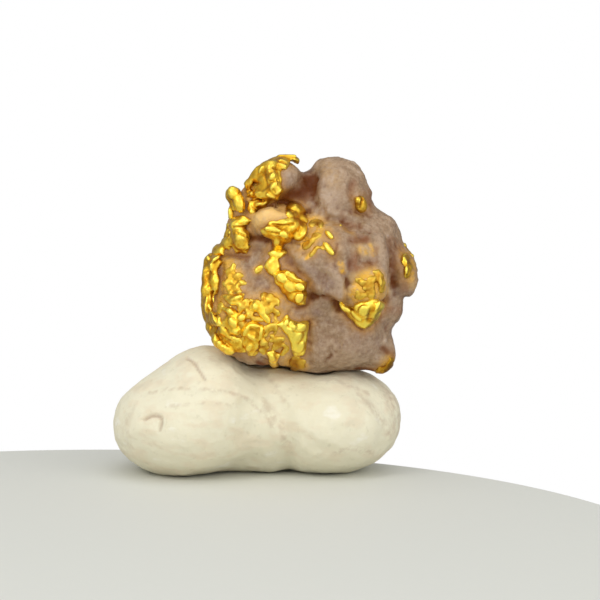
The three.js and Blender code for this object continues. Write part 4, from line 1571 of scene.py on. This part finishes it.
GROWTHS = (
    GoldGrowth(
        "gold_knob",
        swell=0.0,
        beads=(
            Bead(-2.05, 18.6, 0.5, 0.4, 0.4, 120),
            Bead(-1.65, 17.95, 0.7, 0.4, 0.45, 105),
            Bead(-1.6, 18.95, 0.3, 0.18, 0.26),
            Bead(-2.15, 17.3, 0.5, 0.2, 0.3, 95),
        ),
        dents=(Stroke(((-1.15, 19.0), (-1.2, 17.4)), 0.2, -0.15),),
        knobs=0.05,
    ),
    GoldGrowth(
        "gold_crest",
        swell=-0.04,
        sheets=(
            Sheet(
                ((-0.8, 19.75), (-0.65, 20.2), (-0.3, 20.6), (0.2, 20.85), (0.9, 21.1), (1.7, 21.25),
                 (2.2, 21.1), (1.8, 20.85), (1.6, 20.5), (1.4, 20.2), (1.05, 20.1), (1.15, 19.5),
                 (1.15, 19.0), (1.25, 18.75), (0.95, 18.4), (0.9, 18.15), (0.3, 18.1), (-0.2, 18.4),
                 (-0.7, 18.7), (-0.5, 19.0), (-0.25, 19.25), (-0.6, 19.4)),
                0.2,
            ),
            Sheet(((-1.35, 19.2), (-0.95, 19.5), (-0.85, 19.2), (-0.95, 18.8), (-1.1, 18.6)), 0.14),
            Sheet(
                ((-1.1, 18.4), (-0.9, 18.75), (-0.5, 18.7), (-0.15, 18.6), (-0.2, 18.4), (-0.7, 18.4)),
                0.14,
            ),
            Sheet(
                ((-1.0, 18.0), (-0.5, 18.1), (-0.1, 18.0), (0.3, 18.0), (0.1, 17.75), (-0.4, 17.5),
                 (-0.9, 17.3), (-1.05, 17.6)),
                0.2,
            ),
        ),
        windows=(Dab(0.3, 20.08, 0.2, 0.1, 10),),
        beads=(
            Bead(1.5, 21.05, 0.7, 0.2, 0.2, 3),
            Bead(1.3, 20.72, 0.34, 0.12, 0.12, -20),
            Bead(1.12, 20.46, 0.42, 0.15, 0.15, -22),
            Bead(-0.22, 20.15, 0.32, 0.12, 0.12, 55),
            Bead(0.55, 19.7, 0.32, 0.2, 0.16, 65),
            Bead(0.65, 19.15, 0.4, 0.22, 0.12, 60),
            Bead(0.95, 18.68, 0.3, 0.16, 0.15, 35),
            Bead(0.45, 18.4, 0.34, 0.14, 0.12, -25),
            Bead(-0.85, 18.55, 0.2, 0.14, 0.1, 30),
            Bead(-0.4, 17.85, 0.36, 0.14, 0.12, 10),
        ),
        dents=(
            Stroke(((0.35, 19.4), (0.9, 19.42)), 0.1, -0.08),
            Stroke(((0.6, 20.3), (1.4, 20.1)), 0.12, -0.08),
            Stroke(((0.6, 18.85), (0.75, 18.65)), 0.1, -0.06),
        ),
        knobs=0.05,
        dull=0.15,
        ceiling=21.3,
    ),
    GoldGrowth(
        "gold_shoulder",
        swell=-0.08,
        sheets=(
            Sheet(
                ((-2.3, 16.5), (-1.85, 17.0), (-1.3, 17.0), (-1.0, 16.75), (-1.15, 16.42), (-2.0, 16.35)),
                0.5,
            ),
            Sheet(
                ((-2.1, 16.3), (-1.5, 16.35), (-1.0, 16.0), (-0.98, 15.4), (-1.35, 15.05), (-1.95, 15.2)),
                0.6,
            ),
            Sheet(((-2.7, 15.4), (-2.3, 15.65), (-2.1, 15.2), (-2.35, 14.9), (-2.8, 15.0)), 0.45),
            Sheet(((-2.0, 14.95), (-1.3, 14.85), (-0.95, 15.05), (-1.15, 14.6), (-1.8, 14.6)), 0.3),
            Sheet(((-3.4, 14.95), (-3.0, 15.15), (-2.7, 14.95), (-2.75, 14.5), (-3.3, 14.35)), 0.3),
        ),
        dents=(
            Stroke(((-2.1, 16.36), (-1.1, 16.4)), 0.1, -0.12),
            Stroke(((-1.8, 15.95), (-1.3, 15.8)), 0.12, -0.12),
        ),
        wrap=-0.5,
        knobs=0.06,
    ),
    GoldGrowth(
        "gold_rim",
        swell=-0.04,
        sheets=(
            Sheet(
                ((-4.5, 14.2), (-3.7, 14.6), (-3.1, 14.5), (-2.9, 14.0), (-3.15, 13.4), (-3.6, 13.2),
                 (-4.5, 13.6)),
                0.34,
            ),
            Sheet(((-4.5, 13.9), (-3.1, 13.6), (-3.0, 12.6), (-3.15, 11.9), (-4.6, 11.6)), 0.26),
            Sheet(
                ((-4.6, 12.2), (-3.4, 12.2), (-3.4, 11.2), (-3.45, 10.8), (-2.95, 10.2), (-2.9, 9.8),
                 (-3.5, 9.9), (-4.7, 10.6)),
                0.26,
            ),
            Sheet(
                ((-4.6, 10.4), (-3.6, 10.0), (-2.9, 9.2), (-2.3, 8.8), (-1.5, 8.8), (-1.2, 8.0), (-2.0, 8.0),
                 (-3.1, 8.4), (-4.0, 9.2)),
                0.16,
            ),
        ),
        beads=(
            Bead(-3.7, 14.25, 0.3, 0.14, 0.2, -45),
            Bead(-3.2, 14.2, 0.36, 0.14, 0.2, 40),
            Bead(-3.45, 13.7, 0.36, 0.16, 0.22, 90),
            Bead(-3.78, 11.3, 0.7, 0.13, 0.2, 92),
            Bead(-3.3, 10.35, 0.5, 0.1, 0.2, -45),
        ),
        dents=(Stroke(((-3.45, 12.0), (-3.5, 11.0), (-3.2, 10.5)), 0.14, -0.16),),
        wrap=-0.6,
        knobs=0.09,
        amber=0.12,
    ),
    GoldGrowth(
        "gold_arch",
        sheets=(
            Sheet(
                ((-0.12, 16.16), (0.3, 16.47), (0.82, 16.4), (1.25, 16.2), (1.65, 16.1), (1.91, 15.79),
                 (1.75, 15.43), (1.34, 15.22), (1.08, 14.85), (0.7, 14.85), (0.6, 15.2), (0.5, 15.64),
                 (0.09, 15.85)),
                0.45,
            ),
            Dab(1.4, 16.62, 0.75, 0.2, 4, 0.24),
            Dab(1.95, 16.3, 0.4, 0.36, 30, 0.3),
            Dab(2.38, 16.05, 0.6, 0.38, 78, 0.22),
            Dab(2.08, 17.42, 0.62, 0.5, -30, 0.5),
            Dab(2.5, 16.98, 0.34, 0.22, -40, 0.26),
        ),
        beads=(
            Bead(0.5, 16.2, 0.5, 0.2, 0.16, -8),
            Bead(1.3, 15.85, 0.45, 0.26, 0.2, -35),
            Bead(0.85, 15.3, 0.36, 0.22, 0.16, 70),
        ),
        dents=(
            Stroke(((0.5, 15.95), (0.95, 15.9), (1.2, 16.1)), 0.12, -0.1),
            Stroke(((2.34, 15.8), (2.42, 16.2)), 0.2, -0.08),
            Stroke(((0.6, 16.55), (1.3, 16.42), (2.0, 16.55)), 0.12, -0.1),
        ),
        knobs=0.05,
    ),
    GoldGrowth(
        "gold_vein",
        sheets=(
            Dab(0.87, 14.6, 0.5, 0.28, -5, 0.3),
            Dab(0.58, 13.75, 0.55, 0.42, 80, 0.36),
            Sheet(
                ((0.7, 13.1), (1.1, 13.35), (1.5, 13.5), (1.94, 13.25), (2.2, 12.9), (2.83, 12.55),
                 (2.8, 11.74), (2.73, 11.22), (2.3, 11.12), (1.74, 11.54), (1.22, 12.16), (0.75, 12.75)),
                0.45,
            ),
        ),
        beads=(
            Bead(1.2, 12.95, 0.42, 0.34, 0.2, -35),
            Bead(1.75, 12.35, 0.5, 0.36, 0.2, -35),
            Bead(2.4, 12.35, 0.36, 0.28, 0.2, -20),
            Bead(1.6, 13.3, 0.2, 0.16, 0.14),
            Bead(2.35, 11.65, 0.42, 0.3, 0.16, 70),
        ),
        dents=(
            Stroke(((1.6, 13.0), (2.05, 12.75), (2.6, 12.7)), 0.12, -0.12),
            Stroke(((1.9, 11.95), (2.3, 11.98), (2.8, 12.02)), 0.12, -0.08),
        ),
        knobs=0.05,
        amber=-0.2,
    ),
    GoldGrowth(
        "gold_plate",
        sheets=(
            Sheet(
                ((0.85, 9.82), (1.15, 9.95), (1.35, 10.2), (1.53, 10.4), (1.8, 10.1), (2.2, 9.97),
                 (2.92, 9.97), (2.85, 9.5), (2.8, 9.0), (2.8, 8.2), (2.6, 7.85), (2.05, 7.8), (1.9, 8.3),
                 (1.74, 8.93), (1.4, 9.3), (1.25, 9.6)),
                0.26,
            ),
        ),
        beads=(
            Bead(1.5, 9.95, 0.3, 0.16, 0.12, 70),
            Bead(1.9, 9.6, 0.36, 0.26, 0.15, 20),
            Bead(2.55, 9.55, 0.4, 0.3, 0.1, 30),
            Bead(2.3, 8.95, 0.45, 0.34, 0.12, 60),
            Bead(2.4, 8.3, 0.45, 0.32, 0.12, 80),
        ),
        dents=(Stroke(((1.6, 9.75), (2.1, 9.35), (2.6, 9.3)), 0.12, -0.06),),
        knobs=0.035,
        amber=-1.0,
    ),
    GoldGrowth(
        "gold_curl",
        sheets=(
            Sheet(
                ((-1.5, 9.2), (-1.35, 9.65), (-1.0, 9.97), (-0.5, 10.0), (-0.12, 9.8), (0.0, 9.4),
                 (-0.08, 9.0), (-0.35, 8.75), (-0.35, 8.35), (-0.6, 8.1), (-0.85, 7.85), (-1.15, 8.0),
                 (-1.4, 8.5), (-1.3, 8.9)),
                0.28,
            ),
        ),
        beads=(
            Bead(-1.2, 9.4, 0.42, 0.17, 0.15, 62),
            Bead(-0.65, 9.75, 0.4, 0.16, 0.15, -10),
            Bead(-0.18, 9.4, 0.32, 0.14, 0.13, 80),
            Bead(-0.85, 9.0, 0.34, 0.18, 0.16, -40),
            Bead(-1.0, 8.3, 0.36, 0.2, 0.15, 55),
        ),
        dents=(Stroke(((-0.85, 9.45), (-0.5, 9.3), (-0.45, 8.9)), 0.16, -0.08),),
        knobs=0.06,
    ),
    GoldGrowth(
        "gold_crust",
        sheets=(
            Sheet(
                ((-2.7, 11.8), (-2.0, 11.75), (-1.3, 11.9), (-1.45, 11.5), (-1.7, 11.2), (-2.2, 11.15),
                 (-2.5, 11.45)),
                0.2,
            ),
            Sheet(
                ((-2.7, 10.9), (-2.2, 11.0), (-1.85, 10.75), (-1.7, 10.6), (-1.2, 10.4), (-1.3, 10.05),
                 (-1.8, 10.0), (-1.6, 9.5), (-1.75, 9.15), (-2.25, 9.2), (-2.7, 10.0), (-2.45, 10.5)),
                0.26,
            ),
            Sheet(((-2.8, 9.7), (-2.4, 9.4), (-2.2, 9.0), (-1.6, 8.9), (-1.7, 8.65), (-2.9, 9.2)), 0.16),
        ),
        beads=(
            Bead(-1.85, 11.6, 0.45, 0.18, 0.14, 8),
            Bead(-1.5, 10.3, 0.3, 0.24, 0.16, 15),
            Bead(-2.1, 9.95, 0.42, 0.28, 0.16, -55),
            Bead(-2.3, 10.7, 0.32, 0.2, 0.14, -20),
            Bead(-1.95, 9.4, 0.26, 0.2, 0.13, -20),
        ),
        knobs=0.06,
    ),
    GoldGrowth(
        "gold_patch",
        sheets=(
            Dab(-0.62, 11.08, 0.42, 0.32, 60, 0.22),
            Dab(-0.2, 10.85, 0.4, 0.24, -60, 0.2),
            Dab(0.15, 10.25, 0.36, 0.16, -50, 0.16),
        ),
        beads=(Bead(-0.6, 11.05, 0.24, 0.2, 0.12, 90),),
        knobs=0.05,
    ),
    GoldGrowth(
        "gold_tooth",
        sheets=(
            Sheet(
                ((0.25, 7.95), (0.6, 8.05), (1.0, 7.85), (0.85, 7.45), (1.0, 7.0), (0.75, 6.92), (0.4, 7.3)),
                0.26,
            ),
        ),
        beads=(Bead(0.55, 7.6, 0.36, 0.22, 0.15, 110),),
        wrap=-0.4,
        knobs=0.05,
    ),
    GoldGrowth(
        "gold_root",
        sheets=(
            Dab(2.0, 7.42, 0.3, 0.2, 40, 0.14),
            Dab(2.45, 7.2, 0.3, 0.22, -30, 0.18),
            Dab(2.1, 6.95, 0.28, 0.16, 10, 0.14),
            *sprinkle(2.2, 7.15, 0.5, 0.45, 10, seed=12, most=0.15),
        ),
        knobs=0.04,
        wrap=-0.4,
        dull=0.6,
        amber=0.1,
    ),
    GoldGrowth("gold_fleck_upper", beads=(Bead(4.35, 15.8, 0.45, 0.19, 0.26, -58),), knobs=0.03),
    GoldGrowth("gold_fleck_lower", beads=(Bead(4.3, 14.9, 0.62, 0.24, 0.3, -52),), knobs=0.03),
    GoldGrowth(
        "gold_wedge",
        sheets=(
            Sheet(
                ((5.05, 11.3), (5.5, 11.0), (6.05, 10.8), (6.1, 11.1), (6.5, 11.3), (7.0, 11.4), (7.6, 11.5),
                 (7.95, 11.2), (7.5, 10.4), (7.05, 9.75), (6.7, 9.55), (6.3, 9.75), (5.75, 10.3),
                 (5.35, 10.7)),
                0.45,
            ),
        ),
        beads=(
            Bead(5.6, 10.85, 0.5, 0.16, 0.14, -38),
            Bead(6.15, 10.4, 0.5, 0.22, 0.18, -42),
            Bead(6.65, 10.75, 0.45, 0.36, 0.2, 80),
            Bead(7.55, 11.05, 0.42, 0.16, 0.14, 58),
        ),
        dents=(Stroke(((7.3, 11.3), (7.2, 10.7), (7.0, 10.1)), 0.3, -0.09),),
        knobs=0.035,
        amber=-0.5,
    ),
    GoldGrowth(
        "gold_bead",
        beads=(Bead(6.45, 17.85, 0.62, 0.46, 0.36, -62), Bead(6.22, 18.1, 0.3, 0.26, 0.3, -62, 0.12)),
        dents=(Stroke(((6.55, 18.2), (6.4, 17.6)), 0.12, -0.08),),
        knobs=0.04,
        dull=0.25,
        amber=0.35,
    ),
    GoldGrowth(
        "gold_strip",
        sheets=(Dab(9.42, 14.1, 0.42, 0.24, 100, 0.14), Dab(9.55, 13.5, 0.42, 0.24, 80, 0.14)),
        beads=(Bead(9.4, 14.15, 0.26, 0.14, 0.1, 100), Bead(9.5, 13.45, 0.3, 0.14, 0.1, 80)),
        wrap=-0.3,
        amber=0.3,
    ),
    GoldGrowth(
        "gold_foot",
        sheets=(
            Sheet(
                ((7.5, 6.6), (7.7, 6.95), (8.1, 7.0), (8.4, 7.5), (8.6, 7.5), (8.4, 6.9), (7.9, 6.5)),
                0.12,
            ),
        ),
        wrap=-0.4,
        dull=0.3,
        amber=0.5,
    ),
    GoldGrowth(
        "gold_back_vein",
        face=BACK,
        swell=0.0,
        sheets=(
            Dab(-1.7, 13.2, 0.7, 0.36, 65, 0.26),
            Dab(-0.7, 14.2, 0.7, 0.4, 25, 0.3),
            Dab(0.6, 14.3, 0.8, 0.36, -12, 0.28),
            Dab(1.7, 13.4, 0.75, 0.4, -60, 0.3),
            Dab(-2.3, 12.3, 0.4, 0.3, 40, 0.2),
        ),
        beads=(
            Bead(-1.3, 13.9, 0.4, 0.24, 0.16, 50),
            Bead(0.0, 14.5, 0.5, 0.22, 0.16, 5),
            Bead(1.2, 14.0, 0.42, 0.26, 0.18, -40),
            Bead(1.9, 12.9, 0.36, 0.24, 0.16, -75),
        ),
        dents=(Stroke(((-0.5, 13.9), (0.2, 14.1), (1.0, 13.8)), 0.14, -0.1),),
        knobs=0.07,
    ),
    GoldGrowth(
        "gold_back_seam",
        face=BACK,
        swell=0.0,
        sheets=(
            Dab(-4.2, 10.9, 0.8, 0.5, 10, 0.26),
            Dab(-3.2, 10.9, 0.8, 0.4, -10, 0.26),
            Dab(-2.3, 10.6, 0.4, 0.24, -30, 0.16),
        ),
        beads=(Bead(-4.1, 11.2, 0.4, 0.22, 0.16, 20), Bead(-3.3, 10.7, 0.42, 0.24, 0.16, -25)),
        knobs=0.07,
    ),
    GoldGrowth(
        "gold_back_nugget",
        face=BACK,
        swell=0.0,
        sheets=(Dab(-5.9, 16.1, 0.8, 0.5, 40, 0.26), Dab(-5.1, 16.7, 0.6, 0.4, 10, 0.24)),
        beads=(Bead(-5.9, 16.3, 0.36, 0.28, 0.2, 40), Bead(-5.2, 16.7, 0.34, 0.22, 0.16)),
        knobs=0.07,
    ),
    GoldGrowth(
        "gold_back_crust",
        face=BACK,
        swell=0.0,
        sheets=(Dab(-6.5, 8.7, 0.8, 0.6, 20, 0.22), Dab(-5.6, 8.5, 0.6, 0.4, -20, 0.18)),
        beads=(Bead(-6.6, 8.9, 0.36, 0.2, 0.14, 70), Bead(-6.0, 8.5, 0.4, 0.2, 0.14, -20)),
        knobs=0.08,
    ),
    GoldGrowth(
        "gold_back_patch",
        face=BACK,
        swell=0.0,
        sheets=(Dab(0.5, 9.5, 0.8, 0.6, 80, 0.2), Dab(1.5, 9.7, 0.7, 0.5, 60, 0.22)),
        beads=(Bead(0.6, 9.6, 0.4, 0.2, 0.14, 60), Bead(1.4, 9.8, 0.4, 0.24, 0.16, 30)),
        knobs=0.08,
    ),
    GoldGrowth(
        "gold_film_back",
        face=BACK,
        sheets=(
            *sprinkle(-1.2, 12.6, 1.1, 0.9, 22, seed=21, most=0.17),
            *sprinkle(1.4, 12.8, 0.9, 1.0, 16, seed=22, most=0.16),
            *sprinkle(-3.6, 12.0, 1.3, 0.9, 18, seed=23, most=0.15),
            *sprinkle(-5.4, 15.6, 0.9, 0.9, 14, seed=24, most=0.15),
            *sprinkle(-6.0, 9.4, 1.0, 0.7, 14, seed=25, most=0.15),
            *sprinkle(1.0, 10.6, 1.0, 0.7, 18, seed=26, most=0.16),
            *sprinkle(1.9, 8.9, 0.6, 0.6, 12, seed=27, most=0.15),
        ),
        packed=False,
        dull=0.3,
    ),
    GoldGrowth(
        "gold_film_left_side",
        face=LEFT,
        sheets=(
            Dab(-0.6, 13.0, 0.5, 0.3, 70, 0.2),
            Dab(-1.4, 11.6, 0.5, 0.34, 40, 0.2),
            Dab(-1.1, 10.3, 0.4, 0.24, -30, 0.18),
            *sprinkle(-0.6, 12.4, 0.8, 1.5, 22, seed=31, most=0.17),
            *sprinkle(-2.0, 10.6, 0.9, 1.0, 18, seed=32, most=0.16),
            *sprinkle(0.6, 15.6, 0.8, 0.9, 12, seed=33, most=0.14),
            Dab(-2.6, 13.3, 0.4, 0.24, 60, 0.2),
            Dab(-2.9, 12.3, 0.36, 0.22, 100, 0.2),
        ),
        beads=(Bead(-1.26, 14.9, 0.4, 0.3, 0.3, 20), Bead(-1.3, 14.1, 0.4, 0.3, 0.3, -20)),
        packed=False,
        dull=0.3,
    ),
    GoldGrowth(
        "gold_film_right_side",
        face=RIGHT,
        sheets=(
            Dab(0.4, 13.4, 0.5, 0.28, 80, 0.18),
            Dab(1.0, 12.2, 0.4, 0.26, 50, 0.16),
            *sprinkle(0.6, 13.0, 0.7, 1.2, 20, seed=41, most=0.16),
            *sprinkle(2.2, 9.6, 0.9, 0.7, 12, seed=42, most=0.14),
        ),
        packed=False,
        dull=0.35,
    ),
    GoldGrowth(
        "gold_film_left",
        sheets=(
            Dab(-2.2, 13.5, 0.26, 0.12, 30, 0.1),
            Dab(-1.9, 13.05, 0.28, 0.12, -30, 0.1),
            Dab(-1.5, 12.65, 0.24, 0.12, -20, 0.14),
            Dab(-2.35, 12.75, 0.24, 0.1, 20, 0.1),
            Dab(-1.15, 11.4, 0.2, 0.12),
            Dab(-0.95, 10.5, 0.3, 0.16, 40),
            Dab(-0.5, 10.2, 0.34, 0.14, -20),
            Dab(0.5, 9.75, 0.34, 0.16, 30),
            Dab(0.35, 11.6, 0.3, 0.24, 30, 0.14),
            Dab(0.8, 11.35, 0.24, 0.2, -30, 0.12),
            Dab(0.9, 8.75, 0.3, 0.2, 20, 0.14),
            Dab(-0.35, 13.55, 0.22, 0.16, 60, 0.1),
            Dab(1.4, 8.1, 0.3, 0.14, 60),
            Dab(-2.9, 11.0, 0.25, 0.13, 80),
            Dab(-1.25, 9.0, 0.2, 0.1, 60),
            *sprinkle(-2.2, 12.7, 0.65, 1.1, 20, seed=2, most=0.13),
            *sprinkle(-0.3, 11.0, 1.3, 0.8, 22, seed=3, most=0.17),
            *sprinkle(0.5, 9.2, 0.8, 1.0, 20, seed=4, most=0.17),
            *sprinkle(-2.0, 9.9, 0.8, 1.2, 18, seed=5, most=0.18),
            *sprinkle(-0.4, 8.4, 1.3, 0.5, 16, seed=6, most=0.16),
        ),
        packed=False,
        dull=0.35,
    ),
    GoldGrowth(
        "gold_film_middle",
        sheets=(
            Dab(3.35, 14.75, 0.26, 0.12, 55, 0.08),
            Dab(3.75, 16.5, 0.24, 0.16, 110, 0.1),
            Dab(3.3, 16.6, 0.2, 0.14, 40, 0.08),
            Dab(3.5, 15.75, 0.22, 0.14, 0, 0.08),
            Dab(2.8, 15.1, 0.26, 0.2, 20, 0.1),
            Dab(3.2, 15.4, 0.16, 0.12, 20, 0.08),
            Dab(4.0, 15.0, 0.16, 0.1, 20, 0.08),
        ),
        packed=False,
        dull=0.55,
    ),
    GoldGrowth(
        "gold_film_lip",
        sheets=(
            Sheet(
                ((7.3, 13.4), (7.6, 13.45), (7.95, 13.15), (8.0, 12.5), (7.9, 12.0), (7.65, 12.0),
                 (7.65, 12.7), (7.45, 13.1)),
                0.16,
            ),
            Dab(6.5, 11.75, 0.34, 0.16, 20, 0.12),
            Dab(7.2, 11.9, 0.3, 0.18, 70, 0.12),
            Dab(6.95, 12.5, 0.26, 0.16, 60, 0.1),
            *sprinkle(6.9, 12.4, 0.7, 0.8, 16, seed=9, most=0.14),
        ),
        beads=(Bead(7.75, 12.75, 0.4, 0.14, 0.1, -85),),
        packed=False,
        dull=0.5,
    ),
)


# ---------------------------------------------------------------- the putty
@dataclass
class PuttyPinch:
    """The pinch of putty that holds the stone.

    Attributes:
        skin: side of a face of its skin, in millimetres.
        relief: for each size of its bumps, their width and height in millimetres.
        creases: strokes that crack it.
        folds: strokes that fold it softly.
        fold_shading: pinkish painted shade in its folds and valley, under the stone, near the table and down
            its sides.
    """

    skin: float = 0.13
    relief: tuple[tuple[float, float], ...] = ((2.4, 0.25), (0.6, 0.04))
    creases: tuple[Stroke, ...] = (
        Stroke(((-5.1, 7.6), (-4.65, 7.3), (-4.3, 6.75), (-3.95, 6.25)), 0.2, -0.1),
        Stroke(((-8.0, 3.5), (-7.6, 3.72), (-7.15, 3.75), (-6.88, 3.5), (-6.95, 2.8)), 0.2, -0.16),
    )
    folds: tuple[Stroke, ...] = (
        Stroke(((-8.6, 5.2), (-7.0, 5.1), (-5.0, 5.2), (-3.4, 5.1), (-2.0, 5.4)), 0.35, -0.06),
        Stroke(((-6.4, 6.1), (-4.4, 6.3), (-2.4, 6.5), (-0.9, 5.6)), 0.45, -0.07),
        Stroke(((-1.2, 7.0), (0.4, 5.2), (1.2, 3.6), (1.6, 2.2), (1.6, 0.4)), 1.0, -0.28),
        Stroke(((-1.4, 4.6), (-0.3, 4.2), (0.3, 3.2), (0.6, 2.0), (0.6, 0.6)), 0.5, -0.12),
        Stroke(((-4.9, 3.55), (-4.3, 3.45)), 0.25, -0.06),
        Stroke(((-3.4, 5.0), (-3.2, 4.4)), 0.25, -0.05),
        Stroke(((-9.4, 2.4), (-8.4, 3.0), (-7.6, 2.8)), 0.7, 0.1),
        Stroke(((1.4, 6.1), (3.0, 6.2), (5.0, 6.0)), 0.6, 0.08),
        Stroke(((6.2, 5.6), (7.4, 4.8), (8.0, 3.4), (7.8, 1.6)), 0.7, -0.1),
        Stroke(((8.6, 5.0), (8.9, 4.0)), 0.4, 0.08),
        Stroke(((2.6, 2.4), (3.6, 1.6), (4.6, 1.4)), 0.6, -0.08),
        Stroke(((4.4, 4.2), (5.2, 3.4)), 0.7, 0.08),
    )
    fold_shading: tuple[Stroke, ...] = (
        Stroke(((-7.6, 5.3), (-5.5, 5.6), (-3.0, 5.4), (-1.2, 4.9), (0.2, 3.6), (0.7, 2.6)), 0.22, 0.55),
        Stroke(((-6.2, 4.4), (-3.8, 4.6), (-1.7, 4.4)), 0.2, 0.4),
        Stroke(((-1.8, 7.5), (0.6, 6.0), (1.6, 4.2)), 0.35, 0.4),
        Stroke(((0.0, 4.6), (1.0, 3.2), (1.6, 1.8)), 0.5, 0.5),
        Stroke(((3.0, 6.4), (5.0, 6.0), (7.0, 5.2)), 0.25, 0.45),
        Stroke(((6.2, 5.2), (7.6, 3.8), (8.4, 2.4)), 0.4, 0.5),
        Stroke(((8.2, 5.4), (8.8, 4.2), (8.9, 2.8)), 0.7, 0.6),
        Stroke(((4.6, 1.2), (6.0, 1.6), (7.4, 1.2)), 0.3, 0.5),
        Stroke(((-8.8, 4.2), (-9.2, 3.0), (-8.8, 1.6)), 0.5, 0.3),
        Stroke(((-3.6, 7.6), (-2.2, 6.6)), 0.25, 0.35),
    )

    def build(self, node: bpy.types.Object) -> None:
        """Builds and finishes the putty.

        Args:
            node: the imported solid.
        """
        putty = Bench.take(node, "putty_pinch")
        Bench.fuse([putty], self.skin, 2)
        crease = np.max(Bench.marks(putty, self.creases, FRONT), axis=0)
        Bench.press(putty, self.creases + self.folds, FRONT)
        for size, height in self.relief:
            Bench.roughen(putty, size, height)
        Bench.trim(putty, 0.0, math.inf)
        # painted shade in the creases and along the folds
        Bench.tag(putty, "crease", 0.55 * crease**2)
        Bench.tag(putty, "fold_shade", Bench.tint(putty, self.fold_shading, FRONT))
        Bench.done(putty, Slot.PUTTY, MineralTack().material(), "putty")


# ---------------------------------------------------------------- the studio
@dataclass(frozen=True)
class Panel:
    """A square panel of soft light, turned to the specimen.

    Attributes:
        name: what it does.
        middle: where it hangs, in millimetres.
        side: its side, in millimetres.
        power: watts.
    """

    name: str
    middle: tuple[float, float, float]
    side: float
    power: float


@dataclass
class Studio:
    """The floor, the light and the camera.

    Attributes:
        floor_radius: millimetres.
        floor_middle: the floor's middle, in millimetres.
        floor_depth: its thickness.
        floor_edge: width of the rounding of its edge.
        floor_gap: how far it lies below the putty.
        panels: the lights.
        lens: the camera's focal length, in millimetres.
        sensor: width of the camera's sensor, in millimetres.
        clip: the nearest and farthest that the camera sees, in metres.
    """

    floor_radius: float = 37.5
    floor_middle: Place = (-11.3, -29.5)
    floor_depth: float = 12.0
    floor_edge: float = 0.4
    floor_gap: float = 0.01
    panels: tuple[Panel, ...] = (
        Panel("key", (-170.0, -170.0, 220.0), 130.0, 0.2),
        Panel("fill", (230.0, -160.0, 120.0), 180.0, 0.12),
        Panel("top", (0.0, 20.0, 300.0), 200.0, 0.11),
    )
    lens: float = 225.0
    sensor: float = 36.0
    clip: tuple[float, float] = (0.01, 10.0)

    def lay_floor(self) -> None:
        """Lays a plain round floor."""
        bpy.ops.object.select_all(action="DESELECT")
        x, y = self.floor_middle
        bpy.ops.mesh.primitive_cylinder_add(
            vertices=192,
            radius=self.floor_radius * MM,
            depth=self.floor_depth * MM,
            location=(x * MM, y * MM, (-self.floor_depth / 2 - self.floor_gap) * MM),
        )
        floor = bpy.context.active_object
        floor.name = "floor"
        bpy.ops.object.transform_apply(location=True, rotation=False, scale=False)
        Bench.work(floor, "BEVEL", width=self.floor_edge * MM, segments=4, limit_method="ANGLE")
        bpy.ops.object.shade_smooth_by_angle(angle=math.radians(40))
        floor.data.materials.append(PaintedBoard().material())

    def hang_panels(self) -> None:
        """Hangs the soft panels round the specimen."""
        for panel in self.panels:
            lamp = bpy.data.lights.new(panel.name, "AREA")
            lamp.size, lamp.energy = panel.side * MM, panel.power
            holder = bpy.data.objects.new(panel.name, lamp)
            bpy.context.scene.collection.objects.link(holder)
            holder.location = Vector(panel.middle) * MM
            way = Vector(FRONT.aim) * MM - holder.location
            holder.rotation_euler = way.to_track_quat("-Z", "Y").to_euler()

    def surround(self) -> None:
        """Surrounds the floor with white, which lights it brightest from the front and brown from below."""
        world = bpy.data.worlds.new("studio")
        bpy.context.scene.world = world
        world.use_nodes = True
        tree = world.node_tree
        tree.nodes.clear()
        way = add_node(tree, "TexCoord").outputs["Generated"]
        split = add_node(tree, "SeparateXYZ", {0: way})
        sky = add_node(
            tree,
            "ValToRGB",
            {0: add_node(tree, "MapRange", {0: split.outputs["Z"], 1: -1.0}).outputs[0]},
            stops=((0.0, "#5e5040"), (0.37, "#8c816f"), (0.5, "#ececea"), (1.0, "#f0f2f4")),
        )
        front = add_node(tree, "MapRange", {0: split.outputs["Y"], 1: -1.0, 2: 0.5, 3: 1.45, 4: 0.4})
        glow = add_node(tree, "Background", {"Color": sky.outputs[0], "Strength": front.outputs[0]})
        white = add_node(tree, "Background", {"Color": (1.0, 1.0, 1.0, 1.0), "Strength": 1.0})
        seen = add_node(tree, "LightPath").outputs["Is Camera Ray"]
        shown = add_node(tree, "MixShader", {0: seen, 1: glow.outputs[0], 2: white.outputs[0]})
        add_node(tree, "OutputWorld", {"Surface": shown.outputs[0]})

    def camera(self) -> None:
        """Sets up the camera where the front is laid out from."""
        eye = bpy.data.cameras.new("camera")
        eye.lens, eye.sensor_width = self.lens, self.sensor
        eye.clip_start, eye.clip_end = self.clip
        holder = bpy.data.objects.new("camera", eye)
        bpy.context.scene.collection.objects.link(holder)
        holder.location = FRONT.eye * MM
        holder.rotation_euler = (-FRONT.back).to_track_quat("-Z", "Y").to_euler()
        bpy.context.scene.camera = holder
        bpy.context.scene.view_settings.view_transform = "Standard"

    def build(self) -> None:
        """Builds the whole studio."""
        self.lay_floor()
        self.hang_panels()
        self.surround()
        self.camera()


def main() -> None:
    """Builds every piece in order and reports it."""
    logging.basicConfig(level=logging.INFO, format="%(message)s")
    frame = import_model()
    nodes = frame["nodes"]

    quartz = QuartzStone()
    stone = quartz.carve(nodes["quartz"])
    quartz.weather(stone)

    bed = Bed.of(stone)
    finish = NativeGold().material()
    gold = []
    for growth in GROWTHS:
        made = growth.build(nodes.get(growth.node), bed)
        growth.finish(made, bed, finish)
        gold.append(made)
    bed.clear()
    quartz.dress(stone, (FRONT_PAINT, BACK_PAINT, LEFT_PAINT, RIGHT_PAINT), gold)
    PuttyPinch().build(nodes["putty"])
    Studio().build()


if __name__ == "__main__":
    main()
